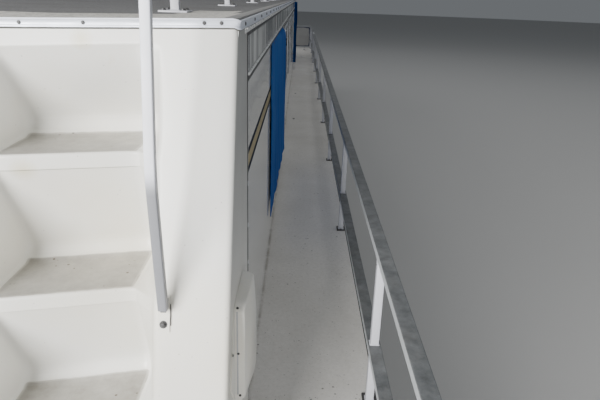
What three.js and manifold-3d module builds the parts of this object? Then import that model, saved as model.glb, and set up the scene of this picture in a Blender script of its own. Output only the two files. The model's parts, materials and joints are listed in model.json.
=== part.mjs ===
// A fifty-foot houseboat with full walk-around side decks, afloat.
// Millimetres. +X forward, +Y to port, +Z up, the origin amidships on the centreline at the waterline.

import * as THREE from 'three';
import { mergeVertices } from 'three/addons/utils/BufferGeometryUtils.js';
import Module from 'manifold-3d';

const wasm = await Module();
wasm.setup();

// Driving dimensions

const GAP = 0.3;                       // between touching pieces
const BOW = 7620;                      // foremost point of the foredeck
const TRANSOM = -7100;                 // aft face of the hull
const HALF_BEAM = 2135;                // deck edge
const HULL_HALF = 2095;                // hull side just under the deck edge
const DECK = 1050;                     // walking surface of the side decks
const DECK_THICK = 90;
const ROOF = 2197;                     // walking surface of the roof
const ROOF_THICK = 28;
const CABIN_SOLE = 220;
const COCKPIT_SOLE = 593;
const BOW_SOLE = 350;                  // sole of the fore cockpit
const WELL_HALF = 1660;                // half width of the cabin and cockpit wells
const CABIN_AFT = -5500;
const CABIN_FRONT = 3880;
const WALL_OUT = 1728;                 // outer face of the cabin sides
const WALL_THICK = 40;
const FORE_WELL_END = 6200;
const ROOF_AFT = -5700;
const ROOF_FRONT = 5900;
const ROOF_HALF = 1745;
const DECK_UNDER = DECK - DECK_THICK;
const ROOF_UNDER = ROOF - ROOF_THICK;
const WALL_IN = WALL_OUT - WALL_THICK;

const COLOURS = {
  gelcoat: [0xe9e7df, 0.35, 0], deck: [0xc9c5bd, 0.8, 0], roof: [0x9a9896, 0.85, 0],
  rail: [0xc4c6ca, 0.4, 0.3], glass: [0x2a3436, 0.1, 0],
  canvas: [0x14407c, 0.9, 0], bronze: [0xa88a4e, 0.4, 0.9],
  steel: [0xb9bcc0, 0.3, 0.9], vinyl: [0xb9aea6, 0.7, 0], upholstery: [0xd8d2c4, 0.7, 0],
  wood: [0x7a5232, 0.6, 0], engine: [0x4a5a54, 0.6, 0.3], black: [0x1b1b1c, 0.5, 0],
};

// Solids from three.js shapes

function solid(geometry) {
  const bare = geometry.clone();
  bare.deleteAttribute('normal');
  bare.deleteAttribute('uv');
  const merged = mergeVertices(bare, 1e-3);
  return new wasm.Manifold(new wasm.Mesh({
    numProp: 3,
    vertProperties: new Float32Array(merged.attributes.position.array),
    triVerts: new Uint32Array(merged.index.array),
  }));
}

const join = (...solids) => solids.reduce((sum, next) => sum.add(next));
const cut = (body, ...tools) => tools.reduce((rest, tool) => rest.subtract(tool), body);

function box([x0, x1], [y0, y1], [z0, z1]) {
  const geometry = new THREE.BoxGeometry(x1 - x0, y1 - y0, z1 - z0);
  geometry.translate((x0 + x1) / 2, (y0 + y1) / 2, (z0 + z1) / 2);
  return solid(geometry);
}

const outline = (points) => new THREE.Shape(points.map(([a, b]) => new THREE.Vector2(a, b)));

function roundedRectangle([a0, a1], [b0, b1], r) {
  const shape = new THREE.Shape();
  shape.moveTo(a0 + r, b0).lineTo(a1 - r, b0).absarc(a1 - r, b0 + r, r, -Math.PI / 2, 0);
  shape.lineTo(a1, b1 - r).absarc(a1 - r, b1 - r, r, 0, Math.PI / 2);
  shape.lineTo(a0 + r, b1).absarc(a0 + r, b1 - r, r, Math.PI / 2, Math.PI);
  shape.lineTo(a0, b0 + r).absarc(a0 + r, b0 + r, r, Math.PI, Math.PI * 1.5);
  return shape;
}

// A flat outline given a thickness: along Z from a plan, along Y from a side view, along X from a front view
const AXES = {
  z: new THREE.Matrix4(),
  y: new THREE.Matrix4().makeBasis(
    new THREE.Vector3(1, 0, 0), new THREE.Vector3(0, 0, 1), new THREE.Vector3(0, -1, 0)),
  x: new THREE.Matrix4().makeBasis(
    new THREE.Vector3(0, 1, 0), new THREE.Vector3(0, 0, 1), new THREE.Vector3(1, 0, 0)),
};

function slab(shape, axis, [low, high], steps = 4) {
  const geometry = new THREE.ExtrudeGeometry(shape, {
    depth: high - low, bevelEnabled: false, curveSegments: steps });
  geometry.translate(0, 0, axis === 'y' ? -high : low);
  geometry.applyMatrix4(AXES[axis]);
  return solid(geometry);
}

// A bar of square section bent in the side view: each bend is a mitre
function bentBar(points, width, y) {
  const half = width / 2;
  const at = (i) => new THREE.Vector2(...points[i]);
  const normals = points.slice(1).map((_, i) => {
    const run = at(i + 1).sub(at(i)).normalize();
    return new THREE.Vector2(-run.y, run.x);
  });
  const side = (sign) => points.map((_, i) => {
    const before = normals[Math.max(i - 1, 0)];
    const after = normals[Math.min(i, normals.length - 1)];
    const mitre = before.clone().add(after).normalize();
    return at(i).add(mitre.multiplyScalar(sign * half / mitre.dot(after)));
  });
  return slab(new THREE.Shape([...side(1), ...side(-1).reverse()]), 'y', [y - half, y + half]);
}

// A round bar between two points
function rod(from, to, radius, sides = 12) {
  const a = new THREE.Vector3(...from);
  const b = new THREE.Vector3(...to);
  const geometry = new THREE.CylinderGeometry(radius, radius, a.distanceTo(b), sides);
  const turn = new THREE.Quaternion().setFromUnitVectors(
    new THREE.Vector3(0, 1, 0), b.clone().sub(a).normalize());
  geometry.applyQuaternion(turn);
  geometry.translate(...a.add(b).multiplyScalar(0.5).toArray());
  return solid(geometry);
}

// The model

const boat = new THREE.Group();

function place(name, body, colour) {
  const mesh = body.getMesh();
  const geometry = new THREE.BufferGeometry();
  geometry.setAttribute('position', new THREE.BufferAttribute(mesh.vertProperties, 3));
  geometry.setIndex(new THREE.BufferAttribute(mesh.triVerts, 1));
  geometry.computeVertexNormals();
  const [hex, roughness, metalness] = COLOURS[colour];
  const material = new THREE.MeshStandardMaterial({ color: hex, roughness, metalness });
  const piece = new THREE.Mesh(geometry, material);
  piece.name = name;
  boat.add(piece);
}

const SIDES = [['starboard', -1], ['port', 1]];
const span = (sign, near, far) => (sign < 0 ? [-far, -near] : [near, far]);

// Hull: a loft through cross sections, each of keel, chines and sheer

const SHAFT = { x: -6150, y: 850, z: -575, slope: Math.tan(THREE.MathUtils.degToRad(9)), radius: 25 };
const SHAFT_END = -4300;
const RUDDER = { x: -6600, y: 850, stock: 22, top: -345, bottom: -860 };
const BOW_CORNER = 150;
const BAY = { x: [-6850, -5660], half: 900, floor: -80 };
const HATCH = { x: [-6890, -5620], half: 940, thick: 25 };
const TRANSOM_GAP = [1040, WELL_HALF];

// Columns: x, half width at the chine, chine height, keel height
const SECTIONS = [
  [TRANSOM, 1930, -90, -430],
  [-3000, 1950, -110, -500],
  [1500, 1940, -110, -520],
  [4000, 1880, -80, -500],
  [5400, 1760, 20, -390],
  [6400, 1620, 210, -140],
  [7050, 1480, 430, 170],
  [BOW - 100, 1340, 660, 480],
  [BOW - 40, 1300, 800, 700],
];
const STATIONS = 24;                   // cross sections of the finished hull

// The table's rows joined by smooth lines along the hull
function smoothSections() {
  const lines = [1, 2, 3].map((column) => new THREE.CatmullRomCurve3(
    SECTIONS.map((row) => new THREE.Vector3(row[0], 0, row[column])), false, 'catmullrom', 0.5));
  return Array.from({ length: STATIONS }, (_, k) => {
    const [chine, chineZ, keelZ] = lines.map((line) => line.getPoint(k / (STATIONS - 1)));
    return [chine.x, chine.z, chineZ.z, keelZ.z];
  });
}

function sheerHalf(x) {
  const into = Math.min(BOW_CORNER, Math.max(0, x - (BOW - BOW_CORNER)));
  return HULL_HALF - BOW_CORNER + Math.sqrt(BOW_CORNER ** 2 - into ** 2);
}

function hullLoft() {
  const sections = smoothSections();
  const points = sections.flatMap(([x, chine, chineZ, keelZ]) => [
    [x, 0, keelZ], [x, chine, chineZ], [x, sheerHalf(x), DECK_UNDER - GAP],
    [x, -sheerHalf(x), DECK_UNDER - GAP], [x, -chine, chineZ]]);
  const ring = 5;
  const faces = [];
  for (let s = 0; s + 1 < sections.length; s += 1) {
    for (let k = 0; k < ring; k += 1) {
      const a = s * ring + k;
      const b = s * ring + (k + 1) % ring;
      faces.push(a, b, a + ring, b, b + ring, a + ring);
    }
  }
  const last = (sections.length - 1) * ring;
  for (let k = 1; k + 1 < ring; k += 1) {
    faces.push(0, k + 1, k, last, last + k, last + k + 1);
  }
  const geometry = new THREE.BufferGeometry();
  geometry.setAttribute('position', new THREE.Float32BufferAttribute(points.flat(), 3));
  geometry.setIndex(faces);
  return solid(geometry);
}

const shaftPoint = (sign, x) => [x, sign * SHAFT.y, SHAFT.z + (x - SHAFT.x) * SHAFT.slope];

function hull() {
  const above = DECK_UNDER + 100;
  const strutX = SHAFT.x + 290;
  let body = cut(
    hullLoft(),
    box([CABIN_AFT + 60, CABIN_FRONT - WALL_THICK], [-WELL_HALF, WELL_HALF], [CABIN_SOLE, above]),
    box([TRANSOM + 110, CABIN_AFT + 61], [-WELL_HALF, WELL_HALF], [COCKPIT_SOLE, above]),
    box([CABIN_FRONT - WALL_THICK - 1, FORE_WELL_END], [-WELL_HALF, WELL_HALF], [BOW_SOLE, above]),
    box([TRANSOM - 10, TRANSOM + 111], TRANSOM_GAP, [COCKPIT_SOLE, above]),
    box(BAY.x, [-BAY.half, BAY.half], [BAY.floor, COCKPIT_SOLE + 1]),
    box(HATCH.x, [-HATCH.half, HATCH.half], [COCKPIT_SOLE - HATCH.thick - 1, COCKPIT_SOLE + 1]));
  // A step up to the foredeck at the front of the fore cockpit
  body = join(body, box([FORE_WELL_END - 300, FORE_WELL_END + 1], [-350, 350], [BOW_SOLE - 1, 700]));
  for (const [, sign] of SIDES) {
    const strut = box([strutX - 60, strutX + 60], span(sign, SHAFT.y - 11, SHAFT.y + 11), [-530, -250]);
    const barrel = rod(shaftPoint(sign, strutX - 95), shaftPoint(sign, strutX + 95), 44);
    const log = rod(shaftPoint(sign, SHAFT_END - 420), shaftPoint(sign, SHAFT_END), 52);
    body = cut(
      join(body, strut, barrel, log),
      rod(shaftPoint(sign, strutX - 120), shaftPoint(sign, SHAFT_END + 60), SHAFT.radius + 2),
      rod([RUDDER.x, sign * RUDDER.y, -350], [RUDDER.x, sign * RUDDER.y, -150], RUDDER.stock + 3));
  }
  return body;
}

place('hull', hull(), 'gelcoat');

// Decks: side strips, foredeck and the strip across the stern, with a low raised pad under each cleat

const CLEAT_PAD = { long: 260, wide: 90, high: 10, aftX: -6640, foreX: 6900, y: 1950 };

function cleatPad(x, sign) {
  const plan = roundedRectangle([x - CLEAT_PAD.long / 2, x + CLEAT_PAD.long / 2],
    span(sign, CLEAT_PAD.y - CLEAT_PAD.wide / 2, CLEAT_PAD.y + CLEAT_PAD.wide / 2), 20);
  return slab(plan, 'z', [DECK - 1, DECK + CLEAT_PAD.high]);
}

for (const [side, sign] of SIDES) {
  place(`side_deck_${side}`, join(
    box([TRANSOM, FORE_WELL_END], span(sign, WELL_HALF, HALF_BEAM), [DECK_UNDER, DECK]),
    cleatPad(CLEAT_PAD.aftX, sign)), 'deck');
}
const foredeck = new THREE.Shape();
foredeck.moveTo(FORE_WELL_END + GAP, -HALF_BEAM).lineTo(BOW - BOW_CORNER, -HALF_BEAM);
foredeck.absarc(BOW - BOW_CORNER, BOW_CORNER - HALF_BEAM, BOW_CORNER, -Math.PI / 2, 0);
foredeck.lineTo(BOW, HALF_BEAM - BOW_CORNER);
foredeck.absarc(BOW - BOW_CORNER, HALF_BEAM - BOW_CORNER, BOW_CORNER, 0, Math.PI / 2);
foredeck.lineTo(FORE_WELL_END + GAP, HALF_BEAM);
place('foredeck', join(slab(foredeck, 'z', [DECK_UNDER, DECK]),
  cleatPad(CLEAT_PAD.foreX, -1), cleatPad(CLEAT_PAD.foreX, 1)), 'deck');
place('stern_deck',
  box([TRANSOM, TRANSOM + 110], [GAP - WELL_HALF, TRANSOM_GAP[0]], [DECK_UNDER, DECK]), 'deck');

// Cabin: sides with their windows cut, end bulkheads with doorways, the roof

// Columns: aft end, forward end
const WINDOWS = [[-4280, -2980], [-2450, -1250], [-650, 550], [1500, 2900]];
const WINDOW_Z = [1450, 2020];
const DOORWAY_AFT = [-690, 40];
const DOORWAY_FRONT = [-370, 370];
const SCREEN_Y = [520, 1560];
const SCREEN_Z = [1100, 2020];
const LINTEL = 2075;                   // top of both doorways
const PANE = 6.7;                      // thickness of the glass
const CANOPY_POST = { x: 5800, y: 1693, half: 25 };

for (const [side, sign] of SIDES) {
  const wall = box([CABIN_AFT, CABIN_FRONT], span(sign, WALL_IN, WALL_OUT), [DECK + GAP, ROOF_UNDER - GAP]);
  const holes = WINDOWS.map((ends) => slab(
    roundedRectangle(ends, WINDOW_Z, 60), 'y', span(sign, WALL_IN - 5, WALL_OUT + 5), 3));
  place(`cabin_side_${side}`, cut(wall, ...holes), 'gelcoat');
  place(`side_glazing_${side}`,
    box([WINDOWS[0][0] - 40, WINDOWS[3][1] + 40], span(sign, WALL_IN - GAP - PANE, WALL_IN - GAP),
      [WINDOW_Z[0] - 30, WINDOW_Z[1] + 30]), 'glass');
}

const across = [GAP - WALL_IN, WALL_IN - GAP];
const lowAcross = [GAP - WELL_HALF, WELL_HALF - GAP];
place('bulkhead_aft', cut(
  join(box([CABIN_AFT, CABIN_AFT + WALL_THICK], across, [DECK + GAP, ROOF_UNDER - GAP]),
    box([CABIN_AFT, CABIN_AFT + WALL_THICK], lowAcross, [COCKPIT_SOLE + GAP, DECK + 2])),
  box([CABIN_AFT - 1, CABIN_AFT + WALL_THICK + 1], DOORWAY_AFT, [COCKPIT_SOLE - 1, LINTEL])), 'gelcoat');
place('bulkhead_front', cut(
  join(box([CABIN_FRONT - WALL_THICK + GAP, CABIN_FRONT], across, [DECK + GAP, ROOF_UNDER - GAP]),
    box([CABIN_FRONT - WALL_THICK + GAP, CABIN_FRONT], lowAcross, [BOW_SOLE + GAP, DECK + 2])),
  box([CABIN_FRONT - 60, CABIN_FRONT + 1], DOORWAY_FRONT, [BOW_SOLE - 1, LINTEL]),
  ...SIDES.map(([, sign]) => slab(
    roundedRectangle(span(sign, ...SCREEN_Y), SCREEN_Z, 60), 'x', [CABIN_FRONT - 60, CABIN_FRONT + 5], 3)),
), 'gelcoat');
for (const [side, sign] of SIDES) {
  place(`front_glazing_${side}`,
    box([CABIN_FRONT - WALL_THICK - PANE, CABIN_FRONT - WALL_THICK],
      span(sign, SCREEN_Y[0] - 30, SCREEN_Y[1] + 30), [SCREEN_Z[0] - 30, SCREEN_Z[1] + 30]), 'glass');
}
place('roof', slab(roundedRectangle([ROOF_AFT, ROOF_FRONT], [-ROOF_HALF, ROOF_HALF], 60), 'z',
  [ROOF_UNDER, ROOF]), 'roof');
for (const [side, sign] of SIDES) {
  const { x, y, half } = CANOPY_POST;
  place(`canopy_post_${side}`,
    box([x - half, x + half], span(sign, y - half, y + half), [DECK + GAP, ROOF_UNDER - GAP]), 'rail');
}

// Aft units: raked mouldings at both quarters, the starboard one with steps up to the roof

const RAKE = 0.3423;                   // forward run of the face for each unit of height
const faceX = (z) => -5704 - (2183 - z) * RAKE;
const UNIT_INNER = 1050;
const POCKET_Y = [-1570, -1202];
const POCKET_TOP = 2140;
const RISER = 287;
const TOP_NOSING = 1918;
const LIP = 35;                         // front edge of a step
const TREAD = 205;
const CANT = THREE.MathUtils.degToRad(13.5);

function quarterUnit(sign) {
  const side = (low, high) => outline([
    [faceX(low), low], [CABIN_AFT - GAP, low], [CABIN_AFT - GAP, high], [faceX(high), high]]);
  return join(
    slab(side(DECK + GAP, ROOF_UNDER - GAP), 'y', span(sign, UNIT_INNER, WALL_OUT)),
    slab(side(COCKPIT_SOLE + GAP, DECK + 1), 'y', span(sign, UNIT_INNER, WELL_HALF - GAP)));
}

// The steps' hollow: a saw-toothed side view, turned a little in plan and held between two side walls
function stepsHollow() {
  const points = [[faceX(POCKET_TOP) - 400, POCKET_TOP], [faceX(POCKET_TOP) + 3, POCKET_TOP]];
  let nosing = TOP_NOSING;
  for (; nosing > COCKPIT_SOLE + RISER / 2; nosing -= RISER) {
    points.push([faceX(nosing) + TREAD, nosing], [faceX(nosing), nosing]);
    points.push([faceX(nosing) + 8, nosing - LIP]);
  }
  points.push([faceX(nosing) + TREAD, COCKPIT_SOLE - 20], [faceX(nosing) - 400, COCKPIT_SOLE - 20]);
  const pivot = new THREE.Vector3(faceX(TOP_NOSING), -1240, 0);
  const geometry = new THREE.ExtrudeGeometry(outline(points), { depth: 900, bevelEnabled: false });
  geometry.translate(0, 0, -450 - pivot.y);
  geometry.applyMatrix4(AXES.y);
  geometry.translate(-pivot.x, -pivot.y, 0);
  geometry.rotateZ(CANT);
  geometry.translate(pivot.x, pivot.y, 0);
  return solid(geometry).intersect(box([-7000, CABIN_AFT - 40], POCKET_Y, [400, 2200]));
}

place('steps_unit', cut(quarterUnit(-1), stepsHollow()), 'gelcoat');
place('quarter_unit_port', quarterUnit(1), 'gelcoat');

const TUBE = 25;
const HANDRAIL_Y = -1598;
const HANDRAIL_TOP = 2934.5;
// Columns: x, z
const HANDRAIL = [[-5907, 1633], [-5965, 1920], [-5825, HANDRAIL_TOP + TUBE / 2]];
const HANDRAIL_FOOT = [1575, 1650];     // height of its foot plate
const FOOT_THICK = 5;

function levelBar(from, to, z) {
  const run = new THREE.Vector2(...to).sub(new THREE.Vector2(...from));
  const geometry = new THREE.BoxGeometry(run.length(), TUBE, TUBE);
  geometry.rotateZ(run.angle());
  geometry.translate((from[0] + to[0]) / 2, (from[1] + to[1]) / 2, z);
  return solid(geometry);
}

const [footLow, footHigh] = HANDRAIL_FOOT;
place('stair_handrail', join(
  bentBar(HANDRAIL, TUBE, HANDRAIL_Y),
  levelBar([-5830, HANDRAIL_Y], [-5217, -1490], HANDRAIL_TOP),
  slab(outline([[faceX(footLow) - GAP - FOOT_THICK, footLow], [faceX(footLow) - GAP, footLow],
    [faceX(footHigh) - GAP, footHigh], [faceX(footHigh) - GAP - FOOT_THICK, footHigh]]),
  'y', [HANDRAIL_Y - TUBE / 2, HANDRAIL_Y + TUBE / 2])), 'rail');

for (const [side, sign] of SIDES) {
  place(`vent_box_${side}`, slab(roundedRectangle([-5830, -5600], [1250, 1600], 25), 'y',
    span(sign, WALL_OUT + GAP, WALL_OUT + 31)), 'gelcoat');
}

// Rails: square posts on foot plates, a flat top rail and a flat middle rail

const RAIL_LINE = 2112.5;              // middle of the deck rails
const RAIL_WIDE = 38;
const TOP_RAIL = [1560, 1585];
const MID_RAIL = [1239, 1264];
const FOOT = 5;

// A straight rail along X: posts at the given places, its line at y, heights above the deck
function railAlongX([x0, x1], posts, y, foot, top, middle, plate) {
  const wide = [y - RAIL_WIDE / 2, y + RAIL_WIDE / 2];
  const square = [y - TUBE / 2, y + TUBE / 2];
  return join(
    box([x0, x1], wide, top), box([x0, x1], wide, middle),
    ...posts.flatMap((x) => [
      box([x - TUBE / 2, x + TUBE / 2], square, [foot + GAP, top[0] + 1]),
      box([x - plate[0] / 2, x + plate[0] / 2], [y - plate[1] / 2, y + plate[1] / 2],
        [foot + GAP, foot + GAP + FOOT])]));
}

function railAlongY(x, [y0, y1], posts, foot, top, middle, plate) {
  const wide = [x - RAIL_WIDE / 2, x + RAIL_WIDE / 2];
  const square = [x - TUBE / 2, x + TUBE / 2];
  return join(
    box(wide, [y0, y1], top), box(wide, [y0, y1], middle),
    ...posts.flatMap((y) => [
      box(square, [y - TUBE / 2, y + TUBE / 2], [foot + GAP, top[0] + 1]),
      box([x - plate[0] / 2, x + plate[0] / 2], [y - plate[1] / 2, y + plate[1] / 2],
        [foot + GAP, foot + GAP + FOOT])]));
}

const POST_PITCH = 1390;
const FIRST_POST = -6865;
const SIDE_POSTS = Array.from({ length: 9 }, (_, k) => FIRST_POST + k * POST_PITCH);
const FORE_POSTS = [5040, 6220, 7400];
const GATE_HINGE_GAP = 14;
const GATE_LATCH_GAP = 8;
const GATE = [SIDE_POSTS[8] + TUBE / 2 + GATE_HINGE_GAP, FORE_POSTS[0] - TUBE / 2 - GATE_LATCH_GAP];
const GATE_LOW_RAIL = [1110, 1135];
const BOW_RAIL_X = 7560;
const STERN_RAIL_X = -7060;
const DECK_PLATE = [40, 45];
const CORNER = RAIL_WIDE / 2 + GAP;     // a rail along X stops this far from the line of the one across
const RAIL_END = RAIL_LINE + RAIL_WIDE / 2;

for (const [side, sign] of SIDES) {
  place(`side_rail_${side}`, railAlongX([STERN_RAIL_X + CORNER, SIDE_POSTS[8] + TUBE / 2], SIDE_POSTS,
    sign * RAIL_LINE, DECK, TOP_RAIL, MID_RAIL, DECK_PLATE), 'rail');
  place(`foredeck_rail_${side}`, railAlongX([FORE_POSTS[0] - TUBE / 2, BOW_RAIL_X - CORNER], FORE_POSTS,
    sign * RAIL_LINE, DECK, TOP_RAIL, MID_RAIL, DECK_PLATE), 'rail');
}
place('bow_rail', railAlongY(BOW_RAIL_X, [-RAIL_END, RAIL_END], [-2100, -1050, 0, 1050, 2100], DECK,
  TOP_RAIL, MID_RAIL, [45, 40]), 'rail');
place('stern_rail_starboard', railAlongY(STERN_RAIL_X, [-RAIL_END, 1035], [-2100, -1060, -20, 1020],
  DECK, TOP_RAIL, MID_RAIL, [45, 28]), 'rail');
place('stern_rail_port', railAlongY(STERN_RAIL_X, [1672, RAIL_END], [1690, 2100],
  DECK, TOP_RAIL, MID_RAIL, [45, 28]), 'rail');

const ROOF_RAIL_Y = 1490;
const ROOF_TOP_RAIL = [2922, 2947];
const ROOF_MID_RAIL = [2560, 2585];
const ROOF_POSTS = [-5200, -3990, -2500, -1010, 480, 1970, 3460];
const ROOF_PLATE = [85, 85];
const ROOF_RAIL_X = [-5320, 3570];      // lines of the rails across the roof
const ROOF_RAIL_END = ROOF_RAIL_Y + RAIL_WIDE / 2;
const ROOF_RAIL_AFT = [ROOF_POSTS[0] - TUBE / 2, ROOF_RAIL_X[0] + CORNER];
SIDES.forEach(([side, sign], k) => {
  place(`roof_rail_${side}`, railAlongX([ROOF_RAIL_AFT[k], ROOF_RAIL_X[1] - CORNER], ROOF_POSTS,
    sign * ROOF_RAIL_Y, ROOF, ROOF_TOP_RAIL, ROOF_MID_RAIL, ROOF_PLATE), 'rail');
});
place('roof_rail_aft', railAlongY(ROOF_RAIL_X[0], [-945, ROOF_RAIL_END], [-932, 249, 1430], ROOF,
  ROOF_TOP_RAIL, ROOF_MID_RAIL, ROOF_PLATE), 'rail');
place('roof_rail_front', railAlongY(ROOF_RAIL_X[1], [-ROOF_RAIL_END, ROOF_RAIL_END], [-1380, 0, 1380],
  ROOF, ROOF_TOP_RAIL, ROOF_MID_RAIL, ROOF_PLATE), 'rail');

// Gates: a frame of the rails' own tube, hung on the aft post of the gap

for (const [side, sign] of SIDES) {
  const wide = span(sign, RAIL_LINE - TUBE / 2, RAIL_LINE + TUBE / 2);
  place(`gate_${side}`, join(
    ...[TOP_RAIL, MID_RAIL, GATE_LOW_RAIL].map((height) => box(GATE, wide, height)),
    ...[GATE[0], (GATE[0] + GATE[1] - TUBE) / 2, GATE[1] - TUBE].map(
      (x) => box([x, x + TUBE], wide, [GATE_LOW_RAIL[0], TOP_RAIL[1]]))), 'rail');
}
const STERN_GATE_Y = [TRANSOM_GAP[0] + 6, TRANSOM_GAP[1] - 14];
const sternGateX = [STERN_RAIL_X - 15, STERN_RAIL_X + 15];
place('stern_gate', join(
  box(sternGateX, STERN_GATE_Y, [COCKPIT_SOLE + 12, 1045]),
  box(sternGateX, STERN_GATE_Y, TOP_RAIL),
  ...[STERN_GATE_Y[0], STERN_GATE_Y[1] - TUBE].map(
    (y) => box(sternGateX, [y, y + TUBE], [1040, TOP_RAIL[1]]))), 'gelcoat');

// Doors, hatch and engines

place('door_aft', box([CABIN_AFT - 32, CABIN_AFT - 7],
  [DOORWAY_AFT[0] - 30, DOORWAY_AFT[1] + 30], [COCKPIT_SOLE + 8, 2100]), 'glass');
place('door_front', box([CABIN_FRONT - 32, CABIN_FRONT - 4],
  [DOORWAY_FRONT[0] + 6, DOORWAY_FRONT[1] - 6], [BOW_SOLE + 10, 2067]), 'glass');
place('engine_hatch', box([HATCH.x[0] + 6, HATCH.x[1] - 6], [6 - HATCH.half, HATCH.half - 6],
  [COCKPIT_SOLE - HATCH.thick, COCKPIT_SOLE]), 'deck');
for (const [side, sign] of SIDES) {
  place(`engine_${side}`, box([-6750, -5750], span(sign, 160, 800), [BAY.floor + GAP, 520]), 'engine');
}

// Running gear under the hull

function propeller(sign) {
  const centre = shaftPoint(sign, SHAFT.x);
  const shaft = rod(shaftPoint(sign, SHAFT.x - 110), shaftPoint(sign, SHAFT_END), SHAFT.radius);
  const hub = rod(shaftPoint(sign, SHAFT.x - 75), shaftPoint(sign, SHAFT.x + 75), 48);
  const blade = new THREE.Shape();
  blade.absellipse(0, 138, 78, 102, 0, Math.PI * 2);
  const blades = Array.from({ length: 4 }, (_, k) => {
    const geometry = new THREE.ExtrudeGeometry(blade, { depth: 12, bevelEnabled: false, curveSegments: 8 });
    geometry.translate(0, 0, -6);
    geometry.rotateY(sign * THREE.MathUtils.degToRad(52));
    geometry.rotateX(k * Math.PI / 2);
    geometry.rotateY(-Math.atan(SHAFT.slope));
    geometry.translate(...centre);
    return solid(geometry);
  });
  return join(shaft, hub, ...blades);
}

for (const [side, sign] of SIDES) {
  place(`propeller_${side}`, propeller(sign), 'bronze');
  const plate = roundedRectangle([RUDDER.x - 230, RUDDER.x + 150], [RUDDER.bottom, RUDDER.top], 50);
  place(`rudder_${side}`, join(
    slab(plate, 'y', span(sign, RUDDER.y - 14, RUDDER.y + 14), 3),
    rod([RUDDER.x, sign * RUDDER.y, RUDDER.top - 60], [RUDDER.x, sign * RUDDER.y, -180], RUDDER.stock)),
  'bronze');
}

// Swim platform on two knees, and the ladder that swings down from its edge

const PLATFORM = { x: [-7585, TRANSOM - GAP], half: 1700, z: [250, 300] };
const platformPlan = new THREE.Shape();
platformPlan.moveTo(PLATFORM.x[1], -PLATFORM.half).lineTo(PLATFORM.x[1], PLATFORM.half);
platformPlan.lineTo(PLATFORM.x[0] + 120, PLATFORM.half);
platformPlan.absarc(PLATFORM.x[0] + 120, PLATFORM.half - 120, 120, Math.PI / 2, Math.PI);
platformPlan.lineTo(PLATFORM.x[0], 120 - PLATFORM.half);
platformPlan.absarc(PLATFORM.x[0] + 120, 120 - PLATFORM.half, 120, Math.PI, Math.PI * 1.5);
const knee = outline([[-7480, 251], [TRANSOM - GAP, 251], [TRANSOM - GAP, -20]]);
place('swim_platform', join(slab(platformPlan, 'z', PLATFORM.z),
  ...[-1100, 1100].map((y) => slab(knee, 'y', [y - 20, y + 20]))), 'gelcoat');

const LADDER = { x: -7607, y: [-950, -550], z: [292, 1050], rungs: [420, 640, 860, 1037] };
place('swim_ladder', join(
  ...[LADDER.y[0], LADDER.y[1] - TUBE].map(
    (y) => box([LADDER.x - TUBE / 2, LADDER.x + TUBE / 2], [y, y + TUBE], LADDER.z)),
  ...LADDER.rungs.map((z) => box([LADDER.x - TUBE / 2, LADDER.x + TUBE / 2], LADDER.y, [z, z + TUBE / 2])),
), 'steel');

// Flybridge: console, screen, wheel and bench

const TILT = THREE.MathUtils.degToRad(30);
const WHEEL_STAND = 94;                // length of a wheel's shaft outside its console

function wheel([x, y, z], radius) {
  const parts = [
    new THREE.TorusGeometry(radius, 14, 8, 28),
    ...[0, 1, 2].map((k) => {
      const spoke = new THREE.BoxGeometry(14, radius, 22);
      spoke.translate(0, radius / 2, 0);
      spoke.rotateZ(k * Math.PI * 2 / 3);
      return spoke;
    }),
    new THREE.CylinderGeometry(38, 38, 40, 16).rotateX(Math.PI / 2),
    new THREE.CylinderGeometry(14, 14, WHEEL_STAND, 12).rotateX(Math.PI / 2)
      .translate(0, 0, -WHEEL_STAND / 2),
  ];
  return join(...parts.map((geometry) => {
    geometry.rotateZ(Math.PI / 2);
    geometry.rotateY(-Math.PI / 2);
    geometry.rotateY(TILT);
    geometry.translate(x, y, z);
    return solid(geometry);
  }));
}

const CONSOLE = { x: 2300, y: [-800, 800] };
place('flybridge_console', slab(outline([
  [CONSOLE.x - 120, ROOF + GAP], [CONSOLE.x + 420, ROOF + GAP], [CONSOLE.x + 520, ROOF + 480],
  [CONSOLE.x + 330, ROOF + 660], [CONSOLE.x + 130, ROOF + 660], [CONSOLE.x - 60, ROOF + 330]]),
'y', CONSOLE.y), 'gelcoat');
place('flybridge_screen', slab(outline([
  [CONSOLE.x + 330, ROOF + 660 + GAP], [CONSOLE.x + 337, ROOF + 660 + GAP],
  [CONSOLE.x + 187, ROOF + 960], [CONSOLE.x + 180, ROOF + 960]]), 'y', [-780, 780]), 'glass');
// A wheel stands off the face of its console, which leans 30 degrees
const offFace = ([x, y, z]) => [
  x - (WHEEL_STAND + 1) * Math.cos(TILT), y, z + (WHEEL_STAND + 1) * Math.sin(TILT)];
place('flybridge_wheel', wheel(offFace([CONSOLE.x + 49.7, -380, ROOF + 520]), 190), 'black');
place('flybridge_bench', box([1250, 1700], [-700, 700], [ROOF + GAP, ROOF + 330]), 'gelcoat');
place('flybridge_cushion', join(
  box([1260, 1700], [-695, 695], [ROOF + 331, ROOF + 430]),
  box([1250, 1340], [-695, 695], [ROOF + 331, ROOF + 800])), 'upholstery');

// Saloon pieces that show through the windows

place('helm_console', slab(outline([
  [3260, CABIN_SOLE + GAP], [3800, CABIN_SOLE + GAP], [3800, 1046.4], [3500, 1046.4], [3300, 700]]),
'y', [-1500, -560]), 'wood');
place('helm_wheel', wheel(offFace([3415.5, -1030, 900]), 190), 'black');
place('settee', slab(outline([
  [1640, CABIN_SOLE + GAP], [1640, 1080], [1500, 1080], [1450, 680], [1000, 680], [1000, CABIN_SOLE + GAP]]),
'x', [-1900, 500]), 'upholstery');
place('galley_unit', box([-2700, -900], [-1650, -1050], [CABIN_SOLE + GAP, 1120]), 'wood');

// Canvas: the cover over the aft starboard window, furled side curtains, the cloth on the bow rail

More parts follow.
